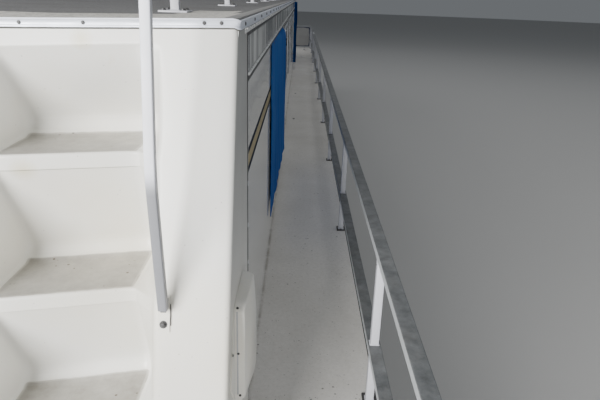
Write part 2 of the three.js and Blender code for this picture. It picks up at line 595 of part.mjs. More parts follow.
place('window_cover', box([-4350, -2890], [-WALL_OUT - 46, -WALL_OUT - 1], [1215, 2046]), 'canvas');
for (const [side, sign] of SIDES) {
  place(`curtain_${side}`, rod([3960, sign * 1688, DECK + 12], [3960, sign * 1688, ROOF_UNDER - 6], 52),
    'canvas');
}
place('bow_cloth', box([BOW_RAIL_X - 32, BOW_RAIL_X - 22], [-2060, 2060], [1085, 1550]), 'vinyl');

export default boat;
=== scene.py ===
"""A fifty-foot houseboat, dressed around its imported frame.

Every piece is a surface worked out with numpy in the frame's own metres: +X forward, +Y to port,
+Z up, the waterline at z = 0. Each sub-assembly is a class that holds its sizes, and each finish is
a frozen dataclass that builds one material.
"""
from __future__ import annotations

import json
import logging
import math
from dataclasses import dataclass
from enum import Enum
from functools import partialmethod
from typing import Sequence

import bmesh
import bpy
import numpy as np
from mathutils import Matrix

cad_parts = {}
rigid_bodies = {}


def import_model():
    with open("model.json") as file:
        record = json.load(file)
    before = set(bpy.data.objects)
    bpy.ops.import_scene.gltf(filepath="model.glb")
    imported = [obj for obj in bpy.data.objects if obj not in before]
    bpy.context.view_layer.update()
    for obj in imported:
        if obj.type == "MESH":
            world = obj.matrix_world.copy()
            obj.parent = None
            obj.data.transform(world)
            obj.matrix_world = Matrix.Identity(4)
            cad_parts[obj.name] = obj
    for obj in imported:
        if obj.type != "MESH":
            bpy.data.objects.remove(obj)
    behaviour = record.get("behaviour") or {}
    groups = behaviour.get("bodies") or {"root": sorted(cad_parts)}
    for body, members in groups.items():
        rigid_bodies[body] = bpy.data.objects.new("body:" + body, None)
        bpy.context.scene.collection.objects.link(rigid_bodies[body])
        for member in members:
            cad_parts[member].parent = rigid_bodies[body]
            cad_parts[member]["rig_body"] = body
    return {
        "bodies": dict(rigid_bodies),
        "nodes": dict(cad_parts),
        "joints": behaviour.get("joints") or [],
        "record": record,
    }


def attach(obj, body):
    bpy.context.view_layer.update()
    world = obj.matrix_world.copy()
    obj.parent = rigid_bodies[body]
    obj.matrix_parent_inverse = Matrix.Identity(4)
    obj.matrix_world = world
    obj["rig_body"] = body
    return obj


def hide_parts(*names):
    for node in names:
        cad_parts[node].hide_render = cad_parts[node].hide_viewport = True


LOG = logging.getLogger("houseboat")
ROOT = "boat"
NODES: dict[str, bpy.types.Object] = {}
Place = tuple[float, float, float]
Colour = Place
Span = tuple[float, float]

# Sockets of a colour mix node: its first and second colour, and its result.
MIX_FIRST, MIX_SECOND, MIX_RESULT = 6, 7, 2

# Heights of the side deck, the cockpit sole and the roof, and half the cabin's width.
DECK_Z = 1.0503
SOLE_Z = 0.5933
ROOF_Z = 2.197
CABIN_HALF = 1.728

# The aft unit's raked face: a point on it, and how far aft it goes for each metre down.
AFT_FACE_X, AFT_FACE_Z, AFT_RAKE = -5.704, 2.183, 0.3423

# The rails: the side rail's y, the stern rail's x, the square tube, and the z of each flat rail.
RAIL_LINE = 2.1125
STERN_RAIL_X = -7.06
RAIL_TUBE = 0.025
RAIL_TOP, RAIL_MIDDLE = (1.56, 1.585), (1.239, 1.264)
ROOF_RAIL_TOP, ROOF_RAIL_MIDDLE = (2.922, 2.947), (2.56, 2.585)

# Where the curtain's straps sit, as shares of its height.
STRAPS = (0.16, 0.5, 0.86)


class Side(Enum):
    """A side of the boat, with the sign of its y."""

    STARBOARD = -1
    PORT = 1

    @property
    def tag(self) -> str:
        """The side's word in piece names."""
        return self.name.lower()

    def span(self, near: float, far: float) -> Span:
        """Two distances from the centreline as a low and a high y on this side."""
        return (near, far) if self is Side.PORT else (-far, -near)


class Axis(Enum):
    """The axis that a flat outline is carried along."""

    X = 0
    Y = 1
    Z = 2


class Skin:
    """A mesh in the making: points, quads, other faces, and what a finish may read at each point."""

    def __init__(self, points: np.ndarray, quads: np.ndarray, ngons: Sequence[Sequence[int]] = (),
                 uv: np.ndarray | None = None, mark: np.ndarray | None = None) -> None:
        """Keeps the arrays.

        Args:
            points: N by 3 places.
            quads: M by 4 point numbers, turned outward.
            ngons: rows of point numbers of any length.
            uv: N by 2 cloth coordinates in metres, or None.
            mark: N shares from 0 to 1 that a finish may read, or None.
        """
        self.points = np.asarray(points, float).reshape(-1, 3)
        self.quads = np.asarray(quads, int).reshape(-1, 4)
        self.ngons = [list(map(int, row)) for row in ngons]
        count = len(self.points)
        self.uv = np.zeros((count, 2)) if uv is None else np.asarray(uv, float).reshape(-1, 2)
        self.mark = np.zeros(count) if mark is None else np.broadcast_to(mark, count)

    def moved(self, turn: np.ndarray | None = None, by: Sequence[float] = (0, 0, 0)) -> Skin:
        """The same skin turned by a 3 by 3 matrix and then moved.

        Args:
            turn: the matrix, or None for no turn.
            by: the move.

        Returns:
            The moved skin.
        """
        points = self.points if turn is None else self.points @ np.asarray(turn).T
        return Skin(points + np.asarray(by), self.quads, self.ngons, self.uv, self.mark)

    def on(self, side: Side) -> Skin:
        """The skin itself to port, or its mirror image with the faces turned outward to starboard.

        Args:
            side: the side that it goes to.

        Returns:
            The skin or its mirror image.
        """
        if side is Side.PORT:
            return self
        points = self.points * np.array([1, -1, 1])
        return Skin(points, self.quads[:, ::-1], [row[::-1] for row in self.ngons], self.uv, self.mark)

    def repeated(self, places: Sequence[Sequence[float]]) -> Skin:
        """Copies of the skin at many places.

        Args:
            places: K by 3 moves.

        Returns:
            One skin of K copies.
        """
        moves = np.asarray(places, float).reshape(-1, 3)
        count, size = len(moves), len(self.points)
        points = (self.points[None] + moves[:, None]).reshape(-1, 3)
        steps = np.arange(count) * size
        quads = (self.quads[None] + steps[:, None, None]).reshape(-1, 4)
        ngons = [[i + int(step) for i in row] for step in steps for row in self.ngons]
        return Skin(points, quads, ngons, np.tile(self.uv, (count, 1)), np.tile(self.mark, count))


def fused(skins: Sequence[Skin]) -> Skin:
    """Several skins in one mesh.

    Args:
        skins: the skins.

    Returns:
        One skin that holds them all.
    """
    starts = np.cumsum([0] + [len(skin.points) for skin in skins])
    return Skin(
        np.concatenate([skin.points for skin in skins]),
        np.concatenate([skin.quads + start for skin, start in zip(skins, starts)]),
        [[i + int(start) for i in row] for skin, start in zip(skins, starts) for row in skin.ngons],
        np.concatenate([skin.uv for skin in skins]), np.concatenate([skin.mark for skin in skins]))


def grid_quads(rows: int, columns: int, wrap: bool = False) -> np.ndarray:
    """Quads between neighbouring points of a grid, facing the columns' run times the rows' run.

    Args:
        rows: points along the first parameter.
        columns: points along the second parameter.
        wrap: whether the last column joins the first.

    Returns:
        M by 4 point numbers.
    """
    numbers = np.arange(rows * columns).reshape(rows, columns)
    if wrap:
        numbers = np.concatenate([numbers, numbers[:, :1]], axis=1)
    return np.stack([numbers[:-1, :-1], numbers[:-1, 1:], numbers[1:, 1:], numbers[1:, :-1]],
                    -1).reshape(-1, 4)


def rounded(corners: Sequence[Sequence[float]], radius: float | Sequence[float],
            steps: int = 4) -> np.ndarray:
    """A closed outline with its corners rounded.

    Each corner becomes an arc that touches both of its edges: the arc's first radius is turned into
    its last one at an even rate about the arc's centre.

    Args:
        corners: the outline's corners in order.
        radius: one radius, or one for each corner.
        steps: points on each arc.

    Returns:
        The outline's points.
    """
    points = np.asarray(corners, float)
    radii = np.maximum(np.broadcast_to(np.asarray(radius, float), len(points)), 1e-5)[:, None]
    back = np.roll(points, 1, 0) - points
    ahead = np.roll(points, -1, 0) - points
    back /= np.linalg.norm(back, axis=1, keepdims=True)
    ahead /= np.linalg.norm(ahead, axis=1, keepdims=True)
    half = np.arccos(np.clip((back * ahead).sum(1, keepdims=True), -1, 1)) / 2
    middle = back + ahead
    middle /= np.linalg.norm(middle, axis=1, keepdims=True)
    centre = points + middle * radii / np.sin(half)
    first = points + back * radii / np.tan(half) - centre
    last = points + ahead * radii / np.tan(half) - centre
    sweep_angle = np.maximum(math.pi - 2 * half, 1e-6)[:, :, None]
    share = np.linspace(0, 1, steps)[None, :, None]
    arc = (np.sin((1 - share) * sweep_angle) * first[:, None]
           + np.sin(share * sweep_angle) * last[:, None]) / np.sin(sweep_angle)
    return (centre[:, None] + arc).reshape(-1, 2)


def rounded_chain(corners: Sequence[Sequence[float]], radii: Sequence[float], steps: int = 6) -> np.ndarray:
    """An open chain with its inner corners rounded and its two ends kept.

    Args:
        corners: the chain's corners.
        radii: a radius for each corner, of which the first and last aren't used.
        steps: points on each arc.

    Returns:
        The chain's points.
    """
    points = np.asarray(corners, float)
    arcs = rounded(points, radii, steps).reshape(len(points), steps, 2)
    return np.concatenate([points[:1], arcs[1:-1].reshape(-1, 2), points[-1:]])


def rectangle(a: Sequence[float], b: Sequence[float]) -> np.ndarray:
    """The corners of a rectangle from two spans, anticlockwise."""
    return np.array([[a[0], b[0]], [a[1], b[0]], [a[1], b[1]], [a[0], b[1]]])


def oval(radius_a: float, radius_b: float, steps: int = 16) -> np.ndarray:
    """An anticlockwise ellipse: cosine and sine of an even angle, times the radii."""
    angle = np.arange(steps) * 2 * math.pi / steps
    return np.stack([radius_a * np.cos(angle), radius_b * np.sin(angle)], 1)


def stacked(rings: Sequence[np.ndarray], axis: Axis = Axis.Z) -> Skin:
    """Closed outlines of equal length one above another, capped at both ends.

    Args:
        rings: outlines of K by 3: two coordinates and the height along the axis.
        axis: the axis of the height; the two coordinates are the two axes after it in turn.

    Returns:
        The closed skin.
    """
    rows = np.stack(rings)
    count, columns = rows.shape[:2]
    points = np.roll(rows, axis.value + 1, axis=2)
    caps = [list(range(columns))[::-1], list(range((count - 1) * columns, count * columns))]
    return Skin(points, grid_quads(count, columns, wrap=True), caps)


def at_level(outline: np.ndarray, height: float | np.ndarray) -> np.ndarray:
    """A flat outline with a height, one or one for each point, as its third coordinate."""
    return np.column_stack([outline, np.broadcast_to(height, len(outline))])


def filled(path: np.ndarray, gap: float, shares: Sequence[float]) -> np.ndarray:
    """A closed path with points put into its long edges.

    Args:
        path: its points.
        gap: edges longer than this are cut.
        shares: where along an edge the points go, 0 being its start.

    Returns:
        The path with more points, its start kept.
    """
    return np.concatenate([np.vstack([a + (b - a) * share for share in shares]) if np.linalg.norm(b - a) > gap
                           else a[None] for a, b in zip(path, np.roll(path, -1, 0))])


def soft_box(a: Sequence[float], b: Sequence[float], radius: float, steps: int = 4) -> np.ndarray:
    """A rectangle from two spans with its corners rounded."""
    return rounded(rectangle(a, b), radius, steps)


def slab(outline: np.ndarray, axis: Axis, span: Sequence[float]) -> Skin:
    """A flat closed outline carried along one axis.

    Args:
        outline: anticlockwise points: (y, z) for X, (z, x) for Y, (x, y) for Z.
        axis: the axis that it is carried along.
        span: its low and high ends.

    Returns:
        The closed skin.
    """
    return stacked([at_level(outline, end) for end in span], axis)


def block(x: Sequence[float], y: Sequence[float], z: Sequence[float]) -> Skin:
    """A bar from three spans: a rectangle carried along Z."""
    return slab(rectangle(x, y), Axis.Z, z)


def tablet(a: Sequence[float], b: Sequence[float], radius: float, levels: Sequence[Sequence[float]],
           axis: Axis = Axis.Z, steps: int = 6) -> Skin:
    """A rounded rectangle carried through levels, each drawn in by its own inset.

    Args:
        a: span of the first coordinate.
        b: span of the second coordinate.
        radius: corner radius at no inset.
        levels: rows of (inset, height).
        axis: the axis of the height.
        steps: points on each corner.

    Returns:
        The closed skin.
    """
    rings = []
    for inset, height in levels:
        spans = (a[0] + inset, a[1] - inset), (b[0] + inset, b[1] - inset)
        rings.append(at_level(soft_box(*spans, max(radius - inset, 0.0008), steps), height))
    return stacked(rings, axis)


def soft_levels(low: float, high: float, edge: float, steps: int = 5, foot: float = 0) -> list[Span]:
    """Levels of a tablet whose upper edge is a quarter circle.

    Args:
        low: lower height.
        high: upper height.
        edge: radius of the upper edge.
        steps: points on the quarter circle.
        foot: radius of the lower edge, or 0.

    Returns:
        Rows of (inset, height): the inset is the radius less its cosine, the height follows its sine.
    """
    angle = np.linspace(0, math.pi / 2, steps)
    top = list(zip(edge * (1 - np.cos(angle)), high - edge + edge * np.sin(angle)))
    if not foot:
        return [(0.0, low)] + top
    bottom = list(zip(foot * (1 - np.sin(angle)), low + foot - foot * np.cos(angle)))
    return bottom + top


def sweep(outline: np.ndarray, path: np.ndarray, up: Sequence[float] = (0, 0, 1), closed: bool = False,
          swell: np.ndarray | None = None) -> Skin:
    """An outline carried along a path.

    At each point of the path the outline's first axis is the run crossed with the up direction, and
    its second axis is square to both.

    Args:
        outline: K by 2 anticlockwise points seen from behind.
        path: N by 3 places.
        up: the direction that the second axis keeps to.
        closed: whether the path joins its own start.
        swell: N factors on the outline, or None.

    Returns:
        The skin, capped at both ends unless the path is closed.
    """
    path = np.asarray(path, float)
    run = np.roll(path, -1, 0) - np.roll(path, 1, 0) if closed else np.gradient(path, axis=0)
    run /= np.linalg.norm(run, axis=1, keepdims=True)
    across = np.cross(run, np.asarray(up, float))
    across /= np.linalg.norm(across, axis=1, keepdims=True)
    over = np.cross(across, run)
    size = np.ones(len(path)) if swell is None else np.asarray(swell, float)
    shape = outline[None] * size[:, None, None]
    points = path[:, None] + shape[:, :, :1] * across[:, None] + shape[:, :, 1:] * over[:, None]
    rows, columns = points.shape[:2]
    if closed:
        quads = grid_quads(rows + 1, columns, wrap=True) % (rows * columns)
        return Skin(points, quads[:, ::-1])
    caps = [list(range(columns)), list(range((rows - 1) * columns, rows * columns))[::-1]]
    return Skin(points, grid_quads(rows, columns, wrap=True)[:, ::-1], caps)


def bent(points: Sequence[Sequence[float]], reach: float | Sequence[float], steps: int = 6) -> np.ndarray:
    """A path through corners that are each eased into a parabola.

    Args:
        points: the corners.
        reach: how far before and after each corner its bend reaches.
        steps: points on each bend.

    Returns:
        The path: a bend is (1 - t) squared times its start, 2 t (1 - t) times the corner and t squared
        times its end.
    """
    corners = np.asarray(points, float)
    reaches = np.broadcast_to(np.asarray(reach, float), len(corners))
    share = np.linspace(0, 1, steps)[:, None]
    rows = [corners[:1]]
    for before, corner, after, far in zip(corners, corners[1:], corners[2:], reaches[1:]):
        start = corner + (before - corner) * far / np.linalg.norm(before - corner)
        end = corner + (after - corner) * far / np.linalg.norm(after - corner)
        rows.append((1 - share) ** 2 * start + 2 * share * (1 - share) * corner + share ** 2 * end)
    return np.concatenate(rows + [corners[-1:]])


def turned(profile: Sequence[Sequence[float]], steps: int = 20) -> Skin:
    """A profile turned round the Z axis, its open ends closed by flat caps.

    Args:
        profile: K by 2 points (radius, height), from the bottom to the top.
        steps: points round the axis.

    Returns:
        The closed skin.
    """
    return stacked([at_level(oval(radius, radius, steps), height) for radius, height in profile])


def facing(direction: Sequence[float]) -> np.ndarray:
    """A matrix that turns +Z to a direction.

    Args:
        direction: where +Z goes.

    Returns:
        A 3 by 3 rotation.
    """
    to = np.asarray(direction, float) / np.linalg.norm(direction)
    side = np.cross([0, 1, 0] if abs(to[1]) < 0.9 else [1, 0, 0], to)
    side /= np.linalg.norm(side)
    return np.stack([side, np.cross(to, side), to], 1)


def ease(value: np.ndarray) -> np.ndarray:
    """A smooth step from 0 to 1: three squares less two cubes, held at both ends."""
    held = np.clip(value, 0, 1)
    return held * held * (3 - 2 * held)


def crown(y: np.ndarray) -> np.ndarray:
    """How far the roof's edge rises outboard: an even slope from 1.2 m off the centreline, eased in."""
    off = np.abs(y) - 1.2
    return 0.027 * (off + np.sqrt(off ** 2 + 0.0025)) / 2


def cloth(surface: np.ndarray, uv: np.ndarray, thick: float) -> Skin:
    """A grid of places given a thickness to both sides along its own normals.

    Args:
        surface: rows by columns by 3 places of the middle of the cloth.
        uv: rows by columns by 2 cloth coordinates.
        thick: the thickness.

    Returns:
        The closed skin: both faces, joined round the edge.
    """
    rows, columns = surface.shape[:2]
    normal = np.cross(np.gradient(surface, axis=1), np.gradient(surface, axis=0))
    normal /= np.maximum(np.linalg.norm(normal, axis=2, keepdims=True), 1e-9)
    points = np.concatenate([(surface + normal * thick / 2).reshape(-1, 3),
                             (surface - normal * thick / 2).reshape(-1, 3)])
    count = rows * columns
    face = grid_quads(rows, columns)
    numbers = np.arange(count).reshape(rows, columns)
    rim = np.concatenate([numbers[0], numbers[1:, -1], numbers[-1, -2::-1], numbers[-2:0:-1, 0]])
    after = np.roll(rim, -1)
    edge = np.stack([rim, rim + count, after + count, after], 1)
    return Skin(points, np.concatenate([face, face[:, ::-1] + count, edge]), (),
                np.concatenate([uv.reshape(-1, 2)] * 2))


def linked(name: str, data: bpy.types.ID) -> bpy.types.Object:
    """A new object of its data, in the scene.

    Args:
        name: the object's name.
        data: its mesh, lamp or camera.

    Returns:
        The object.
    """
    made = bpy.data.objects.new(name, data)
    bpy.context.scene.collection.objects.link(made)
    return made


class Brush:
    """Builds one node material step by step."""

    def __init__(self, name: str) -> None:
        """Starts an empty material with its shader.

        Args:
            name: the material's name.
        """
        self.material = bpy.data.materials.new(name)
        self.material.use_nodes = True
        self.tree = self.material.node_tree
        self.shader = self.tree.nodes["Principled BSDF"]

    def node(self, kind: str, **values: object) -> bpy.types.Node:
        """A new node with its own settings.

        Args:
            kind: the node's type name without its prefix.
            values: settings of the node itself.

        Returns:
            The node.
        """
        made = self.tree.nodes.new(f"ShaderNode{kind}")
        for key, value in values.items():
            setattr(made, key, value)
        return made

    def feed(self, socket: bpy.types.NodeSocket, value: object) -> None:
        """Sets a socket to a number or colour, or links it to another socket.

        Args:
            socket: the input.
            value: what it gets.
        """
        if isinstance(value, bpy.types.NodeSocket):
            self.tree.links.new(value, socket)
        elif isinstance(value, tuple) and socket.type == "RGBA":
            socket.default_value = (*value[:3], 1)
        else:
            socket.default_value = value

    def place(self, stretch: Sequence[float] = (1, 1, 1), source: str = "Object") -> bpy.types.NodeSocket:
        """Object or UV coordinates, each axis times its own factor.

        Args:
            stretch: factor for each axis.
            source: the name of the coordinates.

        Returns:
            The vector.
        """
        mapping = self.node("Mapping")
        mapping.inputs["Scale"].default_value = stretch
        self.feed(mapping.inputs["Vector"], self.node("TexCoord").outputs[source])
        return mapping.outputs["Vector"]

    def part(self, axis: Axis) -> bpy.types.NodeSocket:
        """One object coordinate.

        Args:
            axis: which one.

        Returns:
            Its value in metres.
        """
        split = self.node("SeparateXYZ")
        self.feed(split.inputs[0], self.place())
        return split.outputs[axis.value]

    def mark(self) -> bpy.types.NodeSocket:
        """The piece's own mark at each point."""
        return self.node("Attribute", attribute_name="mark").outputs["Fac"]

    def noise(self, size: float, detail: float = 3, rough: float = 0.55,
              stretch: Sequence[float] = (1, 1, 1)) -> bpy.types.NodeSocket:
        """Cloudy noise.

        Args:
            size: clouds for each metre.
            detail: octaves.
            rough: how strong the finer ones are.
            stretch: factor for each axis before the noise.

        Returns:
            Its 0 to 1 value.
        """
        made = self.node("TexNoise")
        made.inputs["Scale"].default_value = size
        made.inputs["Detail"].default_value = detail
        made.inputs["Roughness"].default_value = rough
        self.feed(made.inputs["Vector"], self.place(stretch))
        return made.outputs["Fac"]

    def cells(self, size: float, stretch: Sequence[float] = (1, 1, 1)) -> bpy.types.NodeSocket:
        """Distance from the middle of scattered cells.

        Args:
            size: cells for each metre.
            stretch: factor for each axis before the cells.

        Returns:
            The distance in cells.
        """
        made = self.node("TexVoronoi")
        made.inputs["Scale"].default_value = size
        self.feed(made.inputs["Vector"], self.place(stretch))
        return made.outputs["Distance"]

    def specks(self, size: float, share: float, some: float = 0.5) -> bpy.types.NodeSocket:
        """Sparse round dots.

        Args:
            size: cells for each metre.
            share: radius of a dot in cells.
            some: noise level above which a cell shows its dot.

        Returns:
            1 inside a dot and 0 outside it, only in some of the cells.
        """
        near = self.between(self.cells(size), share, share * 0.6)
        return self.times(near, self.between(self.noise(size * 0.37, 1), some, some + 0.06))

    def maths(self, action: str, a: object, b: object = 0.0) -> bpy.types.NodeSocket:
        """One step of arithmetic on numbers or sockets.

        Args:
            action: the step's name in the node.
            a: the first value.
            b: the second value.

        Returns:
            The result.
        """
        made = self.node("Math", operation=action)
        self.feed(made.inputs[0], a)
        self.feed(made.inputs[1], b)
        return made.outputs[0]

    times = partialmethod(maths, "MULTIPLY")
    plus = partialmethod(maths, "ADD")
    minus = partialmethod(maths, "SUBTRACT")
    most = partialmethod(maths, "MAXIMUM")
    least = partialmethod(maths, "MINIMUM")
    size_of = partialmethod(maths, "ABSOLUTE")

    def between(self, value: object, start: float, end: float, first: float = 0, last: float = 1
                ) -> bpy.types.NodeSocket:
        """A value mapped from one span to another and held inside it.

        Args:
            value: the value.
            start: where the span starts.
            end: where it ends.
            first: the result at the start.
            last: the result at the end.

        Returns:
            The result.
        """
        made = self.node("MapRange")
        for socket, number in zip(made.inputs[1:5], (start, end, first, last)):
            socket.default_value = number
        self.feed(made.inputs[0], value)
        return made.outputs[0]

    def mix(self, share: object, a: object, b: object) -> bpy.types.NodeSocket:
        """Colour a going over to colour b.

        Args:
            share: 0 for all of a, 1 for all of b.
            a: a colour.
            b: a colour.

        Returns:
            The mixed colour.
        """
        made = self.node("Mix", data_type="RGBA")
        self.feed(made.inputs[0], share)
        self.feed(made.inputs[MIX_FIRST], a)
        self.feed(made.inputs[MIX_SECOND], b)
        return made.outputs[MIX_RESULT]

    def band(self, axis: Axis, middle: float, half: float, soft: float = 0.0008) -> bpy.types.NodeSocket:
        """1 inside a band of one coordinate and 0 outside it.

        Args:
            axis: the coordinate.
            middle: the band's middle.
            half: half its width.
            soft: half the width of its soft edge.

        Returns:
            The share.
        """
        off = self.size_of(self.minus(self.part(axis), middle))
        return self.between(off, half + soft, half - soft)

    def bumps(self, *layers: tuple[bpy.types.NodeSocket, float]) -> None:
        """Relief from height sockets, each with its height in metres, one on top of another.

        Args:
            layers: (height socket, metres) pairs.
        """
        normal = None
        for height, tall in layers:
            made = self.node("Bump")
            made.inputs["Strength"].default_value = 1
            made.inputs["Distance"].default_value = tall
            self.feed(made.inputs["Height"], height)
            if normal is not None:
                self.feed(made.inputs["Normal"], normal)
            normal = made.outputs["Normal"]
        self.feed(self.shader.inputs["Normal"], normal)

    def set(self, **values: object) -> bpy.types.Material:
        """Sets the shader's sockets by name, an underscore for a space, and gives the material.

        Args:
            values: a value for each socket.

        Returns:
            The material.
        """
        for key, value in values.items():
            self.feed(self.shader.inputs[key.replace("_", " ")], value)
        return self.material


@dataclass(frozen=True)
class Finish:
    """A finish that builds its material once."""

    name: str

    def material(self) -> bpy.types.Material:
        """The finish's material, built at its first use. Its name is none that the frame brings."""
        name = f"{self.name}_finish"
        return bpy.data.materials.get(name) or self.paint(Brush(name))

    def paint(self, brush: Brush) -> bpy.types.Material:
        """Fills in the material. Each finish has its own.

        Args:
            brush: builds the material.

        Returns:
            The material.
        """
        raise NotImplementedError


@dataclass(frozen=True)
class Gelcoat(Finish):
    """Moulded gelcoat, yellowed in clouds and runs, with specks. A marked surface is walked on. A shade share
    paints shade high on the outboard faces.
    """

    base: Colour = (0.83, 0.825, 0.79)
    cream: Colour = (0.74, 0.66, 0.46)
    trodden: Colour = (0.29, 0.275, 0.245)
    gloss: float = 0.3
    stain: float = 0.5
    ripple: float = 0.003
    spots: tuple[tuple[float, float, float, float], ...] = ()
    shade: float = 0.0

    def paint(self, brush: Brush) -> bpy.types.Material:
        """Clouds and upright runs of cream, painted shade high on the outboard faces, dark specks, and relief
        from two noises.

        Args:
            brush: builds the material.

        Returns:
            The material.
        """
        clouds = brush.between(brush.noise(1.7, 4), 0.5, 0.85, 0, self.stain)
        runs = brush.between(brush.noise(9, 5, 0.7, (1, 1, 0.12)), 0.6, 0.85, 0, self.stain)
        worn = brush.mix(brush.most(clouds, runs), self.base, self.cream)
        for x, y, z, radius in self.spots:
            far = brush.node("VectorMath", operation="DISTANCE")
            brush.feed(far.inputs[0], brush.place())
            far.inputs[1].default_value = (x, y, z)
            worn = brush.mix(brush.between(far.outputs["Value"], radius, 0, 0, 0.6), worn, (0.62, 0.55, 0.3))
        # Painted shade: high on the unit's outboard side, and weakly on the face panel beside it, the colour
        # goes towards grey.
        if self.shade:
            off = brush.size_of(brush.part(Axis.Y))
            outboard = brush.plus(brush.between(off, 1.6, 1.71, 0, 0.2),
                                  brush.between(off, 1.7262, 1.7279, 0, self.shade))
            high = brush.between(brush.part(Axis.Z), 1.45, 1.95)
            worn = brush.mix(brush.times(outboard, high), worn, (0.3, 0.31, 0.31))
        scuffs = brush.between(brush.noise(13, 6, 0.75), 0.3, 0.75, 0.7, 1)
        rim = brush.minus(1, brush.times(brush.size_of(brush.minus(brush.mark(), 0.45)), 3))
        line = brush.times(brush.between(rim, 0, 1, 0, 0.7), brush.between(brush.noise(30, 4), 0.4, 0.6))
        walked = brush.mix(brush.times(brush.mark(), scuffs), worn, self.trodden)
        walked = brush.mix(line, walked, (0.3, 0.27, 0.22))
        fine = brush.times(brush.specks(70, 0.13, 0.6), 0.35)
        coarse = brush.times(brush.specks(42, 0.16, 0.55), brush.mark())
        colour = brush.mix(brush.most(fine, coarse), walked, (0.12, 0.1, 0.07))
        brush.bumps((brush.noise(2.2, 2), self.ripple), (brush.noise(240, 2), 0.00012))
        gloss = brush.between(brush.noise(6, 4), 0.3, 0.75, self.gloss, self.gloss + 0.16)
        rough = brush.plus(gloss, brush.times(brush.mark(), 0.25))
        return brush.set(Base_Color=colour, Roughness=rough, Coat_Weight=0.15, Coat_Roughness=0.12)


@dataclass(frozen=True)
class HullCoat(Finish):
    """Hull gelcoat with a boot stripe at the waterline and dull bottom paint below it."""

    base: Colour = (0.76, 0.76, 0.73)
    stripe: Colour = (0.03, 0.045, 0.08)
    bottom: Colour = (0.045, 0.09, 0.17)
    scum: Colour = (0.22, 0.2, 0.1)
    waterline: float = 0.03
    stripe_top: float = 0.1

    def paint(self, brush: Brush) -> bpy.types.Material:
        """Height picks white, stripe or bottom paint; brown runs lie just above the water.

        Args:
            brush: builds the material.

        Returns:
            The material.
        """
        height = brush.plus(brush.part(Axis.Z), brush.between(brush.noise(30, 3), 0, 1, -0.001, 0.001))
        runs = brush.between(brush.noise(6, 5, 0.7, (1, 1, 0.1)), 0.58, 0.82, 0, 0.4)
        white = brush.mix(runs, self.base, (0.5, 0.46, 0.36))
        scum = brush.times(brush.between(height, 0.26, 0.1), brush.between(brush.noise(9, 5), 0.35, 0.7))
        dirty = brush.mix(brush.times(scum, 0.6), white, self.scum)
        striped = brush.mix(brush.between(height, self.stripe_top + 0.001, self.stripe_top - 0.001), dirty,
                            self.stripe)
        growth = brush.mix(brush.between(brush.noise(5, 6, 0.7), 0.4, 0.75, 0, 0.7), self.bottom,
                           (0.05, 0.07, 0.06))
        under = brush.between(height, self.waterline + 0.001, self.waterline - 0.001)
        colour = brush.mix(under, striped, growth)
        brush.bumps((brush.noise(1.1, 2, 0.5, (0.6, 1, 1)), 0.004), (brush.noise(180, 2), 0.0001))
        return brush.set(Base_Color=colour, Roughness=brush.between(height, 0, 0.06, 0.8, 0.24),
                         Coat_Weight=0.2, Coat_Roughness=0.1)


@dataclass(frozen=True)
class Banded(Finish):
    """Glossy cabin side gelcoat with a tan stripe between two dark ones, and painted reflection streaks above
    the trim.
    """

    base: Colour = (0.84, 0.845, 0.83)
    stripe_z: float = 1.83
    stripe_half: float = 0.035
    fascia_z: float = 2.061
    dark: Colour = (0.015, 0.022, 0.04)
    tan: Colour = (0.38, 0.33, 0.22)

    def paint(self, brush: Brush) -> bpy.types.Material:
        """Two bands of one height over the white, painted reflection streaks above the trim, runs under the
        trim, dirt towards the deck.

        Args:
            brush: builds the material.

        Returns:
            The material.
        """
        tape = brush.band(Axis.Z, self.stripe_z, self.stripe_half)
        grime = brush.between(brush.noise(5, 5, 0.65, (1, 1, 0.3)), 0.5, 0.85, 0, 0.4)
        foot = brush.between(brush.part(Axis.Z), 1.2, 1.06, 0, 0.35)
        runs = brush.between(brush.noise(26, 4, 0.6, (1, 1, 0.05)), 0.5, 0.75, 0, 0.6)
        below_trim = brush.between(brush.part(Axis.Z), 1.62, 2.06, 0, 0.75)
        dirt = brush.most(brush.times(runs, below_trim),
                          brush.plus(brush.times(grime, 0.4), brush.times(foot, grime)))
        # Painted reflection: dark and light upright streaks on the band above the trim.
        streak = brush.between(brush.noise(7, 5, 0.72, (1, 1, 0.1)), 0.46, 0.62)
        fascia_reflections = brush.mix(streak, (0.11, 0.12, 0.13), (0.56, 0.57, 0.57))
        over = brush.between(brush.part(Axis.Z), self.fascia_z, self.fascia_z + 0.002)
        matt = brush.most(tape, brush.times(streak, over))
        plain = brush.mix(over, self.base, fascia_reflections)
        white = brush.mix(dirt, plain, (0.27, 0.28, 0.27))
        edged = brush.mix(tape, white, self.dark)
        colour = brush.mix(brush.band(Axis.Z, self.stripe_z, self.stripe_half * 0.48), edged, self.tan)
        brush.bumps((brush.noise(1.3, 2, 0.5, (1, 1, 0.5)), 0.006), (brush.noise(200, 2), 0.00008))
        return brush.set(Base_Color=colour, Roughness=brush.between(matt, 0, 1, 0.14, 0.7),
                         Specular_IOR_Level=brush.between(matt, 0, 1, 0.5, 0.05),
                         Coat_Weight=brush.between(matt, 0, 1, 0.6, 0), Coat_Roughness=0.05)


